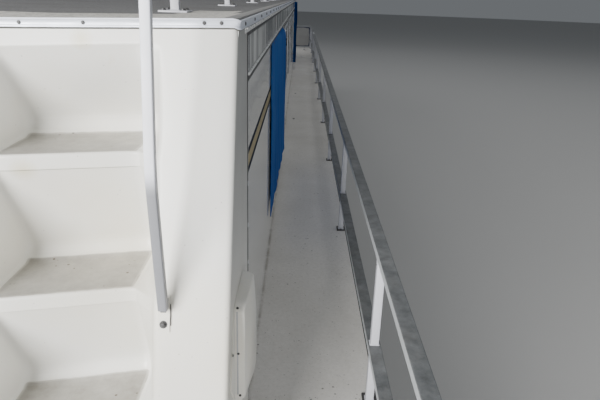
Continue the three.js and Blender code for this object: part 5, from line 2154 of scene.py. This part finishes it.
@dataclass
class WindowCover:
    """The blue canvas cover over the aft side window, snapped down along its top and fore end."""

    x: Span = (-4.349, -2.891)
    z: Span = (1.2165, 2.045)
    wall: float = 1.7285
    near: float = 0.0028
    far: float = 0.0335
    shoulder: float = 0.055
    turn: float = 0.05
    slack: float = 0.0035
    held_above: float = 1.84

    def surface(self) -> tuple[np.ndarray, np.ndarray]:
        """The cover's middle surface.

        It stands off the wall by a share that grows evenly from the aft end and closes in a quarter
        circle at the fore end, times a share that opens from the top in a quarter circle, with upright
        slack folds from leaning waves that grow in the same way. Below the snaps of the aft end it
        hangs off the wall by a slack that falls with the cube of the way forward.

        Returns:
            Places and cloth coordinates, rows by columns.
        """
        rounding = 1 - np.cos(np.linspace(0, math.pi / 2, 11))
        x = np.concatenate([np.linspace(self.x[0], self.x[1] - self.turn, 110)[:-1],
                            self.x[1] - self.turn * rounding[::-1]])
        z = np.concatenate([self.z[1] - self.shoulder * rounding,
                            np.linspace(self.z[1] - self.shoulder, self.z[0], 60)[1:]])
        wide, tall = np.meshgrid(x, z)
        along = (wide - self.x[0]) / np.ptp(self.x)
        closing = np.sqrt(np.clip(1 - np.maximum((wide - self.x[1]) / self.turn + 1, 0) ** 2, 0, 1))
        down = np.clip((self.z[1] - tall) / self.shoulder, 0, 1)
        open_ = closing * np.sqrt(1 - (1 - down) ** 2)
        folds = (np.sin(wide * 29 + tall * 1.5 + 0.9 * np.sin(wide * 7)) * 0.0024
                 + np.sin(wide * 61 - tall * 2.5) * 0.001 + np.sin(wide * 13 - tall * 9) * 0.0014)
        grown = (self.far - self.near) * along + folds * ease(along * 4)
        slack = self.slack * ease((self.held_above - tall) / 0.12) * (1 - along) ** 3
        y = -(self.wall + self.near + grown * open_ + slack)
        lift = 0.004 * np.sin(along * math.pi * 4.5) ** 2 * ease((self.z[0] + 0.1 - tall) / 0.1)
        run_x = np.concatenate([[0], np.cumsum(np.hypot(np.diff(x), np.diff(y[len(z) // 2])))])
        run_z = np.concatenate([[0], np.cumsum(np.hypot(np.diff(z), np.diff(y[:, len(x) // 2])))])
        return np.stack([wide, y, tall + lift], -1), np.stack(np.meshgrid(run_x, run_z), -1)

    def build(self) -> None:
        """Cloth, hem and snap fasteners."""
        surface, uv = self.surface()
        cover = Shop.make("window_cover_cloth", cloth(surface, uv, 0.0014), BLUE_CANVAS, "blue_canvas",
                          replaces=["window_cover"], sharp=60)
        rim = np.concatenate([surface[0], surface[1:, -1], surface[-1, -2::-1], surface[-2:0:-1, 0]])
        away = np.array([0, 0.0012, 0])
        hem = sweep(soft_box((-0.005, 0.005), (-0.0012, 0.0012), 0.001, 3), rim[::2] - away, (0, 1, 0),
                    closed=True)
        hem_piece = Shop.make("window_cover_hem", hem, BLUE_CANVAS, "blue_canvas", sharp=60)
        snap = turned([(0.0065, 0), (0.0065, 0.0012), (0.0045, 0.003), (0.001, 0.0034)],
                      12).moved(facing((0, -1, 0)))
        out = -self.wall - self.near - 0.001
        spots = [(self.x[0] + np.ptp(self.x) * k / 8, out, self.z[1] - 0.006) for k in range(1, 8)]
        spots += [(self.x[1] - 0.003, out, self.z[0] + np.ptp(self.z) * k / 5) for k in range(1, 5)]
        spots.append((self.x[0] + 0.006, out, self.held_above + 0.06))
        snaps = Shop.make("window_cover_snaps", snap.repeated(spots), DARK_SCREW, "stainless")


@dataclass
class Curtain:
    """A side curtain rolled up and strapped upright at the cabin's front corner."""

    side: Side
    x: float = 3.96
    y: float = 1.688
    z: Span = (1.062, 2.163)
    radii: Span = (0.01, 0.047)
    turns: float = 4.6
    flap: float = 0.047

    def build(self) -> None:
        """The rolled sheet as a spiral whose radius wanders, its loose outer flap, and three straps."""
        columns, rows = 190, 40
        angle = np.linspace(0, self.turns * 2 * math.pi, columns)[None]
        height = np.linspace(0, 1, rows)[:, None]
        radius = self.radii[0] + np.ptp(self.radii) * angle / angle.max()
        pinch = sum(np.exp(-((height - spot) / 0.035) ** 2) for spot in STRAPS)
        folds = 1 + 0.035 * np.sin(angle * 3 + height * 5) * (1 - 0.5 * pinch) - 0.07 * pinch
        radius = radius * folds * (1 + 0.03 * np.sin(height * 9))
        x = self.x + radius * np.cos(angle)
        y = self.y + radius * np.sin(angle)
        z = self.z[0] + (self.z[1] - self.z[0]) * height + 0 * angle
        surface = np.stack([x, y, z], -1)
        run = np.concatenate([[0], np.cumsum(np.linalg.norm(np.diff(surface[rows // 2], axis=0), axis=1))])
        uv = np.stack(np.meshgrid(run, z[:, 0]), -1)
        tag = self.side.tag
        roll = Shop.make(f"curtain_{tag}_roll", cloth(surface, uv, 0.0012).on(self.side), BLUE_CANVAS,
                         "blue_canvas", replaces=[f"curtain_{tag}"], sharp=60)
        share, level = np.meshgrid(np.linspace(0, 1, 24), np.linspace(0, 1, 40))
        way = np.radians(10 + 78 * share)
        reach = (self.flap + 0.004 * np.sin(level * 11)) * ease(share) * (0.8 + 0.2 * level)
        out = self.radii[1] + 0.001 + reach
        high = self.z[0] + 0.01 + (self.z[1] - self.z[0] - 0.012) * level
        loose = np.stack([self.x + out * np.cos(way), self.y + out * np.sin(way), high], -1)
        flap = Shop.make(f"curtain_{tag}_flap",
                         cloth(loose, np.stack([share * 0.09, level], -1), 0.0012).on(self.side),
                         BLUE_CANVAS, "blue_canvas", sharp=60)
        straps = []
        ring = oval(self.radii[1] * 0.945, self.radii[1] * 0.945, 28) + (self.x, self.y)
        for spot in STRAPS:
            level = self.z[0] + (self.z[1] - self.z[0]) * spot
            path = at_level(ring, level)
            straps.append(sweep(soft_box((0, 0.0018), (-0.0125, 0.0125), 0.0006, 2), path, closed=True))
        strap = Shop.make(f"curtain_{tag}_straps", fused(straps).on(self.side), PLASTIC, "blue_canvas")


@dataclass
class BowCloth:
    """Panels of pale cloth bound in blue, along the inside of the bow rail."""

    x: float = 7.5335
    half: float = 2.085
    z: Span = (1.088, 1.546)
    panels: int = 10
    binding: float = 0.02

    def build(self) -> None:
        """Each panel is a billowed sheet; its binding is a flat band round its edge."""
        pitch = 2 * self.half / self.panels
        wide = pitch - 0.012
        for number in range(self.panels):
            middle = -self.half + pitch * (number + 0.5)
            across, up = np.meshgrid(np.linspace(-0.5, 0.5, 22), np.linspace(0, 1, 26))
            bulge = np.cos(across * math.pi) * np.sin(up * math.pi)
            wave = np.sin(across * 17 + number) * np.sin(up * 8 + number * 2) * 0.0016
            x = self.x - 0.011 * bulge + wave * bulge + 0.002 * np.sin(up * 19 + number) * bulge
            surface = np.stack([x, middle + across * wide, self.z[0] + (self.z[1] - self.z[0]) * up], -1)
            uv = np.stack([(across + 0.5) * wide, up * (self.z[1] - self.z[0])], -1)
            panel = Shop.make(f"bow_panel_{number}", cloth(surface, uv, 0.0016), PALE_CLOTH, "pale_vinyl",
                              replaces=["bow_cloth"] if number == 0 else (), sharp=60)
            inset = self.binding / 2
            corners = rectangle((middle - wide / 2 + inset, middle + wide / 2 - inset),
                                (self.z[0] + inset, self.z[1] - inset))
            ring = rounded(corners, 0.006, 4)
            path = filled(np.column_stack([np.full(len(ring), self.x), ring]), 0.1, np.arange(8) / 8)
            band = sweep(soft_box((-inset, inset), (-0.0016, 0.0016), 0.001, 2), path, (1, 0, 0), closed=True)
            edge = Shop.make(f"bow_panel_{number}_binding", band, NAVY_BINDING, "blue_canvas", sharp=60)


@dataclass
class Pad:
    """A stuffed cushion: a soft block blown up by cloth pressure."""

    name: str
    x: Span
    y: Span
    z: Span
    finish: Finish
    slot: str
    voxel: float = 0.012
    cap: float = 0.014
    fill: float = 0.7
    pressure: float = 4
    frames: int = 20

    def start(self) -> Skin:
        """A block drawn in from the pad's size, with rounded edges all round.

        Returns:
            The closed skin.
        """
        shrink = self.cap * 0.6
        spans = [(low + shrink, high - shrink) for low, high in (self.x, self.y, self.z)]
        soft = min(high - low for low, high in spans) * 0.3
        return tablet(spans[0], spans[1], 0.04, soft_levels(*spans[2], soft, 6, soft), steps=8)

    @staticmethod
    def evaluated(work: bpy.types.Object) -> bpy.types.Mesh:
        """An object's mesh with its modifiers applied."""
        graph = bpy.context.evaluated_depsgraph_get()
        return bpy.data.meshes.new_from_object(work.evaluated_get(graph))

    @staticmethod
    def places(mesh: bpy.types.Mesh) -> np.ndarray:
        """A mesh's points as N by 3 places.

        Args:
            mesh: the mesh.

        Returns:
            The places.
        """
        flat = np.empty(len(mesh.vertices) * 3)
        mesh.vertices.foreach_get("co", flat)
        return flat.reshape(-1, 3)

    def settled(self, places: Sequence[Sequence[float]] = ((0, 0, 0),)) -> list[bpy.types.Object]:
        """Simulates the pad once and puts copies at many places.

        Args:
            places: a move for each copy.

        Returns:
            The pads.
        """
        scene = bpy.context.scene
        skin = self.start()
        mesh = bpy.data.meshes.new(f"{self.name}_start")
        mesh.from_pydata(skin.points.tolist(), [], skin.quads.tolist() + skin.ngons)
        work = linked(f"{self.name}_work", mesh)
        remesh = work.modifiers.new("even", "REMESH")
        remesh.mode = "VOXEL"
        remesh.voxel_size = self.voxel
        even = Pad.evaluated(work)
        work.modifiers.clear()
        work.data = even
        before = after = Pad.places(even)
        puff = work.modifiers.new("stuffed", "CLOTH")
        puff.settings.use_pressure = True
        puff.settings.uniform_pressure_force = self.pressure
        puff.settings.effector_weights.gravity = 0
        puff.point_cache.frame_start, puff.point_cache.frame_end = 1, self.frames
        for number in range(1, self.frames + 1):
            scene.frame_set(number)
        after = Pad.places(Pad.evaluated(work))
        scene.frame_set(1)
        move = after - before
        length = np.linalg.norm(move, axis=1, keepdims=True)
        low, high = np.array([self.x, self.y, self.z]).T
        held = before + move * np.minimum(1, self.cap / np.maximum(length, 1e-9))
        held = np.clip(held, low, high)
        faces = [list(polygon.vertices) for polygon in even.polygons]
        bpy.data.objects.remove(work)
        base = Skin(held, np.zeros((0, 4)), faces)
        pads = []
        for number, place in enumerate(places):
            piece = Shop.make(f"{self.name}_{number}", base.moved(by=place), self.finish, self.slot,
                              sharp=180)
            round_ = piece.modifiers.new("smooth", "SUBSURF")
            round_.levels = round_.render_levels = 1
            pads.append(piece)
        return pads


@dataclass
class Helm:
    """What stands on a console's leaning face: gauges, a switch plate and two throttle levers."""

    name: str
    spot: Place
    gauges: Sequence[float]
    throttle: Place
    body: str = ROOT
    lean: float = 30

    def on_face(self, skin: Skin, along: float, up: float) -> Skin:
        """A skin made flat at the origin, pointing up, laid on the leaning face.

        Args:
            skin: the skin, its y along the face.
            along: distance from the spot along y.
            up: distance from the spot up the face.

        Returns:
            The skin in place.
        """
        lean = math.radians(self.lean)
        turn = np.array([[math.sin(lean), 0, -math.cos(lean)], [0, 1, 0],
                         [math.cos(lean), 0, math.sin(lean)]])
        return skin.moved(by=(up, along, 0)).moved(turn, self.spot)

    def build(self) -> None:
        """Gauges with bezels and dials, rocker switches on a blank plate, and the throttle."""
        bezel = turned([(0.044, 0), (0.046, 0.004), (0.045, 0.011), (0.042, 0.013), (0.039, 0.011),
                        (0.038, 0.004)], 32)
        dial = turned([(0.0385, 0.003), (0.038, 0.0065), (0.03, 0.0085), (0.012, 0.0092)], 32)
        needle = tablet((-0.004, 0.026), (-0.0011, 0.0011), 0.001, [(0, 0.009), (0.0003, 0.0105)])
        bezels = [self.on_face(bezel, y, 0) for y in self.gauges]
        dials = [self.on_face(dial, y, 0) for y in self.gauges]
        needles = [self.on_face(needle, y, 0) for y in self.gauges]
        middle = sum(self.gauges) / len(self.gauges)
        plate = self.on_face(tablet((-0.026, 0.026), (-0.1, 0.1), 0.008, soft_levels(0, 0.004, 0.0015)),
                             middle, -0.088)
        rocker = tablet((-0.014, 0.014), (-0.009, 0.009), 0.002, soft_levels(0.003, 0.009, 0.003))
        rockers = [self.on_face(rocker, middle + step, -0.088) for step in np.linspace(-0.075, 0.075, 6)]
        Shop.make(f"{self.name}_bezels", fused(bezels), STEEL, "stainless", self.body)
        Shop.make(f"{self.name}_dials", fused(dials + [plate]), PLASTIC, "wheel_plastic", self.body)
        Shop.make(f"{self.name}_needles", fused(needles + rockers), BRIGHT_TRIM, "wheel_plastic", self.body)
        x, y, z = self.throttle
        foot = tablet((-0.06, 0.06), (-0.045, 0.045), 0.02,
                      soft_levels(0, 0.05, 0.02, 7)).moved(by=self.throttle)
        arms, knobs = [], []
        knob = turned([(0.004, -0.016), (0.012, -0.014), (0.0165, -0.005), (0.0165, 0.005), (0.012, 0.014),
                       (0.004, 0.016)], 18)
        for step, tip in ((-0.022, -0.05), (0.022, -0.035)):
            path = bent([(x, y + step, z + 0.03), (x + tip * 0.5, y + step, z + 0.1),
                         (x + tip, y + step * 1.15, z + 0.15)], 0.03)
            arms.append(sweep(oval(0.0048, 0.0048, 10), path, (0, 1, 0)))
            knobs.append(knob.moved(facing((tip, 0, 0.12)), (x + tip, y + step * 1.15, z + 0.158)))
        Shop.make(f"{self.name}_throttle_foot", foot, PLASTIC, "wheel_plastic", self.body)
        Shop.make(f"{self.name}_throttle_arms", fused(arms), STEEL, "stainless", self.body)
        Shop.make(f"{self.name}_throttle_knobs", fused(knobs), PLASTIC, "wheel_plastic", self.body)


@dataclass
class Flybridge:
    """The upper helm: console, screen with its frame, wheel, bench and cushions, and sidelights."""

    seat: tuple[Span, Span, Span] = ((1.34, 1.698), (-0.693, -0.003), (2.528, 2.627))
    backrest: tuple[Span, Span, Span] = ((1.252, 1.338), (-0.693, -0.003), (2.53, 2.995))
    shift: Place = (0, 0.696, 0)
    screen: tuple[Span, Span] = ((2.6335, 2.858), (2.4835, 3.157))
    screen_half: float = 0.78
    roof: float = ROOF_Z
    console_half: float = 0.8

    def screen_frame(self) -> Skin:
        """A channel along the screen's foot and upright bars at its two ends, following its lean.

        Returns:
            The channel and the bars in one skin.
        """
        (low_x, low_z), (high_x, high_z) = self.screen
        run = np.array([high_x - low_x, high_z - low_z])
        run /= np.linalg.norm(run)
        square = soft_box((-0.009, 0.009), (-0.009, 0.009), 0.003, 3)
        ends = [sweep(square, np.array([(low_x, y, low_z + 0.004),
                                        (high_x - run[0] * 0.004, y, high_z - run[1] * 0.012)]),
                      (0, 1, 0)) for y in (-self.screen_half + 0.009, self.screen_half - 0.009)]
        foot = block((low_x - 0.012, low_x + 0.012), (-self.screen_half, self.screen_half),
                     (low_z - 0.0005, low_z + 0.014))
        return fused([foot, *ends])

    def lockers(self) -> None:
        """A lid line and two doors on the bench, and their pulls."""
        door = tablet((0.035, 0.255), (0, 0.56), 0.02,
                      [(0, 0), (0, 0.006), (0.003, 0.009), (0.03, 0.009), (0.034, 0.007)])
        flat = np.array([[0.0, 0.0, 1.0], [0.0, 1.0, 0.0], [-1.0, 0.0, 0.0]])
        front = [door.moved(flat, (1.6995, y, self.roof + 0.3)) for y in (-0.6, 0.04)]
        lid = [block((1.2475, 1.7025), (-0.7025, 0.7025), (self.roof + 0.312, self.roof + 0.316)),
               block((1.2485, 1.7015), (-0.7015, 0.7015), (self.roof + 0.001, self.roof + 0.03))]
        pull = turned([(0.022, 0), (0.022, 0.002), (0.019, 0.004), (0.015, 0.0015)], 24)
        pulls = [pull.moved(facing((1, 0, 0)), (1.708, y + 0.28, self.roof + 0.225)) for y in (-0.6, 0.04)]
        Shop.make("flybridge_locker_doors", fused(front), GELCOAT, "moulding_gelcoat", sharp=25)
        Shop.make("flybridge_bench_lines", fused(lid), RUBBER, "moulding_gelcoat", bevel=0.001)
        Shop.make("flybridge_locker_pulls", fused(pulls), STEEL, "stainless")

    def build(self) -> None:
        """Console and bench mouldings, then what stands on them."""
        for node in ("flybridge_console", "flybridge_bench"):
            Shop.soften(node, GELCOAT, "moulding_gelcoat", 0.014, segments=4)
        Shop.soften("flybridge_screen", TINTED, "tinted_glass", 0.002)
        Shop.make("flybridge_screen_frame", self.screen_frame(), BARE_METAL, "rail_aluminium", bevel=0.0015)
        Shop.soften("flybridge_wheel", PLASTIC, "wheel_plastic", 0)
        self.lockers()
        Helm("flybridge_helm", (2.345, 0, 2.7095), (0.02, 0.13, 0.24), (2.53, -0.08, 2.857)).build()
        lens = tablet((-0.022, 0.022), (-0.011, 0.011), 0.009, soft_levels(0, 0.022, 0.01, 6))
        housing = tablet((-0.034, 0.034), (-0.021, 0.021), 0.01, soft_levels(0, 0.009, 0.004))
        for side, colour in ((Side.STARBOARD, GREEN_LENS), (Side.PORT, RED_LENS)):
            spot = (2.5, self.console_half, 2.73)
            turn = facing((0, 1, 0))
            Shop.make(f"sidelight_housing_{side.tag}", housing.moved(turn, spot).on(side), PLASTIC,
                      "wheel_plastic")
            Shop.make(f"sidelight_lens_{side.tag}",
                      lens.moved(turn, (spot[0], spot[1] + 0.008, spot[2])).on(side), colour, "wheel_plastic")
        seats = Pad("flybridge_seat", *self.seat, CUSHION_VINYL,
                    "upholstery").settled([(0, 0, 0), self.shift])
        backs = Pad("flybridge_back", *self.backrest, CUSHION_VINYL,
                    "upholstery").settled([(0, 0, 0), self.shift])
        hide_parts("flybridge_cushion")
        LOG.info("%d upper cushions", len(seats) + len(backs))


@dataclass
class Interior:
    """What shows through the glass: settee, galley unit and lower helm."""

    settee_x: Span = (-1.9, 0.5)
    settee_y: Span = (1.0, 1.64)
    floor: float = 0.2215
    seat_z: Span = (0.56, 0.69)
    back_z: Span = (0.692, 1.078)
    back_y: float = 1.47
    galley_x: Span = (-2.7, -0.9)
    galley_y: Span = (-1.65, -1.05)
    galley_top: float = 1.12

    def settee(self) -> None:
        """A plinth and a back board in joinery under three seat and three back cushions."""
        base = block(self.settee_x, (self.settee_y[0] + 0.03, self.settee_y[1]), (self.floor, self.seat_z[0]))
        board = block(self.settee_x, (self.settee_y[1] - 0.012, self.settee_y[1]),
                      (self.seat_z[0], self.back_z[1] - 0.04))
        Shop.make("settee_plinth", fused([base, board]), TEAK, "joinery", bevel=0.004)
        wide = np.ptp(self.settee_x) / 3
        ends = (self.settee_x[0] + 0.003, self.settee_x[0] + wide - 0.003)
        places = [(wide * number, 0, 0) for number in range(3)]
        seats = Pad("settee_seat", ends, (self.settee_y[0], self.back_y),
                    (self.seat_z[0] + 0.001, self.seat_z[1]),
                    SETTEE_CLOTH, "upholstery", voxel=0.018).settled(places)
        backs = Pad("settee_back", ends, (self.back_y + 0.001, self.settee_y[1] - 0.013), self.back_z,
                    SETTEE_CLOTH, "upholstery", voxel=0.018).settled(places)
        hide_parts("settee")
        LOG.info("%d saloon cushions", len(seats) + len(backs))

    def galley(self) -> None:
        """The unit's carcass with a worktop, four doors with pulls, a sink rim and a tap."""
        Shop.soften("galley_unit", TEAK, "joinery", 0.006)
        low, high = self.galley_x
        top = tablet((low - 0.012, high + 0.012), (self.galley_y[0] + 0.001, self.galley_y[1] + 0.022), 0.012,
                     soft_levels(self.galley_top - 0.001, self.galley_top + 0.026, 0.006, foot=0.004))
        pitch = (high - low) / 4
        door = tablet((0.03, 0.78), (0.012, pitch - 0.012), 0.006,
                      [(0, 0), (0, 0.012), (0.003, 0.015), (0.04, 0.015), (0.046, 0.011)], Axis.Y, 4)
        places = [(low + pitch * number, self.galley_y[1] - 0.0005, self.floor + 0.05) for number in range(4)]
        pull = sweep(oval(0.0045, 0.0045, 8),
                     bent([(0, 0, 0), (0, 0.022, 0), (0.11, 0.022, 0), (0.11, 0, 0)], 0.012))
        pulls = [(x + pitch / 2 - 0.055, y + 0.014, z + 0.73) for x, y, z in places]
        level = self.galley_top + 0.026
        basin = at_level(soft_box((-1.75, -1.35), (-1.5, -1.16), 0.05, 8), level - 0.0005)
        rim = sweep(soft_box((-0.009, 0.009), (0, 0.0035), 0.0015, 3), basin, closed=True)
        bowl = tablet((-1.745, -1.355), (-1.495, -1.165), 0.046, [(0, level - 0.0006), (0, level + 0.0006)])
        tap = sweep(oval(0.009, 0.009, 12), bent([(-1.55, -1.56, level), (-1.55, -1.56, level + 0.2),
                                                  (-1.55, -1.38, level + 0.2), (-1.55, -1.38, level + 0.15)],
                                                 0.05), (1, 0, 0))
        Shop.make("galley_worktop", top, CABIN_WHITE, "joinery", sharp=50)
        Shop.make("galley_doors", door.repeated(places), TEAK, "joinery", sharp=25)
        Shop.make("galley_sink", bowl, DARK_TRIM, "joinery")
        Shop.make("galley_fittings", fused([pull.repeated(pulls), rim, tap]), STEEL, "stainless")

    def build(self) -> None:
        """Settee, galley, and the lower console with its wheel and instruments."""
        self.settee()
        self.galley()
        Shop.soften("helm_console", TEAK, "joinery", 0.006)
        Shop.soften("helm_wheel", PLASTIC, "wheel_plastic", 0)
        Helm("lower_helm", (3.42, -1.03, 0.9078), (0.29, 0.39), (3.65, -0.68, 1.0464)).build()


@dataclass
class Engine:
    """A vee engine on its bearers: castings, manifolds, pulleys and belt, a pipe and mounts."""

    side: Side
    y: float = 0.48
    sump_z: float = -0.08
    case_x: Span = (-6.5, -5.98)
    crank_z: float = 0.06
    pump_z: float = 0.25
    dynamo: Span = (0.19, 0.2)
    manifold_off: float = 0.262
    bank: float = 42
    rod: int = 28

    def bank_part(self, skin: Skin, sign: int) -> Skin:
        """A part drawn upright over the crank's line, leaned out to one bank.

        Args:
            skin: the part.
            sign: 1 or -1, the bank that it leans to.

        Returns:
            The part in its place.
        """
        lean = math.radians(self.bank) * sign
        turn = np.array([[1, 0, 0], [0, math.cos(lean), math.sin(lean)],
                         [0, -math.sin(lean), math.cos(lean)]])
        return skin.moved(turn, (0, self.y, self.crank_z))

    def round_x(self, rows: Sequence[Sequence[float]], y: float, z: float) -> Skin:
        """A turned part along X from rows of (radius, x)."""
        return turned(rows, self.rod).moved(facing((1, 0, 0)), (0, y, z))

    def build(self) -> None:
        """All the castings, then the belt drive, the rigid coolant pipe and the mounts."""
        tag, mid = self.side.tag, self.y
        aft, fore = self.case_x
        dynamo_y, dynamo_z = mid + self.dynamo[0], self.dynamo[1]
        case = tablet((aft, fore), (mid - 0.15, mid + 0.15), 0.02, soft_levels(0.0, 0.2, 0.02, 5, 0.012))
        sump = tablet((aft + 0.03, fore - 0.03), (mid - 0.12, mid + 0.12), 0.03,
                      [(0.03, self.sump_z + 0.002), (0.012, self.sump_z + 0.012), (0, -0.02),
                       (-0.012, 0.004)])
        head = tablet((aft + 0.01, fore - 0.01), (-0.062, 0.062), 0.012,
                      soft_levels(0.16, 0.285, 0.008, foot=0.004))
        cover = tablet((aft + 0.02, fore - 0.02), (-0.05, 0.05), 0.022, soft_levels(0.28, 0.34, 0.022, 7))
        casts = [case, sump]
        for sign in (-1, 1):
            casts += [self.bank_part(head, sign), self.bank_part(cover, sign)]
        bell = self.round_x([(0.15, 0), (0.155, 0.03), (0.11, 0.11), (0.09, 0.16), (0.09, 0.235),
                             (0.06, 0.245)], mid, 0.1)
        casts.append(bell.moved(by=(-5.995, 0, 0)))
        intake = tablet((aft + 0.06, fore - 0.06), (mid - 0.075, mid + 0.075), 0.02,
                        soft_levels(0.2, 0.375, 0.03, 6))
        casts.append(intake)
        Shop.make(f"engine_{tag}_castings", fused(casts).on(self.side), ENGINE_PAINT, "engine_paint",
                  replaces=[f"engine_{tag}"], sharp=50)
        arrestor = turned([(0.07, 0.37), (0.1, 0.385), (0.112, 0.4), (0.112, 0.468), (0.1, 0.486),
                           (0.05, 0.494), (0.014, 0.497)], self.rod).moved(by=(-6.24, mid, 0))
        wheels = ((0.085, mid, self.crank_z), (0.06, mid, self.pump_z), (0.035, dynamo_y, dynamo_z))
        rows = ((1, 0, 0), (1, 0, 0.008), (1, -0.01, 0.014), (1, 0, 0.02), (1, 0, 0.028), (0.4, 0, 0.034))
        pulleys = [self.round_x([(share * radius + less, x) for share, less, x in rows], y, z)
                   .moved(by=(aft - 0.075, 0, 0)) for radius, y, z in wheels]
        shafts = [self.round_x([(0.018, 0), (0.018, 0.08)], y, z).moved(by=(aft - 0.05, 0, 0))
                  for y, z in ((mid, self.crank_z), (mid, self.pump_z))]
        body = self.round_x([(0.03, 0), (0.058, 0.008), (0.062, 0.03), (0.062, 0.1), (0.05, 0.118),
                             (0.02, 0.12)],
                            dynamo_y, dynamo_z).moved(by=(aft - 0.042, 0, 0))
        filter_ = self.round_x([(0.03, 0), (0.046, 0.008), (0.048, 0.1), (0.02, 0.118)], mid - 0.2,
                               self.crank_z)
        filter_ = filter_.moved(by=(fore - 0.2, 0, 0))
        line = bent([(aft - 0.02, mid - 0.06, 0.25), (aft - 0.1, mid - 0.14, 0.3),
                     (aft - 0.06, mid - 0.25, 0.24), (aft + 0.1, mid - 0.27, 0.14)], 0.06, 8)
        coolant = sweep(oval(0.019, 0.019, 14), line)
        Shop.make(f"engine_{tag}_metal", fused([arrestor, body, *pulleys, *shafts, coolant]).on(self.side),
                  BARE_METAL, "engine_paint", sharp=40)
        circles = [(0.087, mid, self.crank_z), (0.037, dynamo_y, dynamo_z), (0.062, mid, self.pump_z)]
        belt = self.belt(circles, aft - 0.061)
        Shop.make(f"engine_{tag}_rubber", fused([belt, filter_]).on(self.side), RUBBER, "wheel_plastic")
        pipes = []
        for sign in (-1, 1):
            line = bent([(aft + 0.04, mid + sign * self.manifold_off, 0.2),
                         (fore, mid + sign * self.manifold_off, 0.2),
                         (fore + 0.11, mid + sign * 0.25, 0.16), (fore + 0.19, mid + sign * 0.25, 0.02)],
                        0.06, 8)
            pipes.append(sweep(oval(0.036, 0.036, 18), line, (0, 1, 0)))
        Shop.make(f"engine_{tag}_manifolds", fused(pipes).on(self.side), EXHAUST, "engine_paint", sharp=50)
        rubber = turned([(0.036, -0.055), (0.036, -0.046), (0.024, -0.042), (0.03, -0.012)], 18)
        bolt = bolt_head(0.011, 0.018)
        feet = []
        for x in (aft + 0.08, fore - 0.06):
            for sign in (-1, 1):
                wide, spot = sorted((mid + sign * 0.13, mid + sign * 0.3)), mid + sign * 0.265
                feet += [tablet((x - 0.035, x + 0.035), wide, 0.008, soft_levels(-0.012, 0.004, 0.003)),
                         rubber.moved(by=(x, spot, 0)), bolt.moved(by=(x, spot, 0.004))]
        Shop.make(f"engine_{tag}_mounts", fused(feet).on(self.side), PLASTIC, "engine_paint")

    @staticmethod
    def belt(circles: Sequence[Place], x: float) -> Skin:
        """A belt round pulleys: the outline of all their rims pulled tight.

        The rims' points are taken by direction: at each angle the belt touches the pulley that reaches
        furthest that way.

        Args:
            circles: rows of (radius, y, z).
            x: where the belt runs.

        Returns:
            The closed belt.
        """
        angle = np.linspace(0, 2 * math.pi, 60, endpoint=False)
        way = np.stack([np.cos(angle), np.sin(angle)], 1)
        radii = np.array([row[0] for row in circles])
        spots = np.array([row[1:] for row in circles])
        reach = way @ spots.T + radii
        far = reach.argmax(1)
        points = spots[far] + way * radii[far][:, None]
        path = np.column_stack([np.full(len(points), x), points])
        return sweep(soft_box((-0.004, 0.004), (-0.006, 0.006), 0.0015, 2), path, (1, 0, 0), closed=True)


@dataclass
class RunningGear:
    """Rudders, propellers, engines, swim platform and ladder."""

    platform_x: Span = (-7.555, -7.13)
    platform_y: float = 1.66
    platform_top: float = 0.3

    def build(self) -> None:
        """Each node softened in its own metal, and what is fixed to it."""
        for side in Side:
            Shop.soften(f"rudder_{side.tag}", BRONZE, "bronze", 0.003)
            Shop.soften(f"propeller_{side.tag}", BRONZE, "bronze", 0)
            Engine(side).build()
        Shop.soften("swim_platform", GELCOAT, "moulding_gelcoat", 0.01, segments=4)
        Shop.soften("swim_ladder", STEEL, "stainless", 0.001)
        grips = [tablet(self.platform_x, span, 0.03,
                        [(0, self.platform_top - 0.001), (0, self.platform_top + 0.0008),
                         (0.0015, self.platform_top + 0.0018)])
                 for span in ((-self.platform_y + 0.03, -1.0), (-0.5, 0.5), (0.53, self.platform_y - 0.03))]
        Shop.make("swim_platform_grips", fused(grips), SOLE_GRIP, "deck_nonskid")


def main() -> None:
    """Builds the boat piece by piece."""
    logging.basicConfig(level=logging.INFO, format="%(name)s %(message)s")
    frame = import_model()
    NODES.update(frame["nodes"])
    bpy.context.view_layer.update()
    Studio().build()
    Hull().build()
    Decks().build()
    for side in Side:
        QuarterUnit(side).build()
        VentBox(side).build()
        CabinSide(side).build()
        Curtain(side).build()
    CabinEnds().build()
    Roof().build()
    Handrail().build()
    Rails().build()
    Gates().build()
    WindowCover().build()
    BowCloth().build()
    Flybridge().build()
    Interior().build()
    RunningGear().build()


if __name__ == "__main__":
    main()
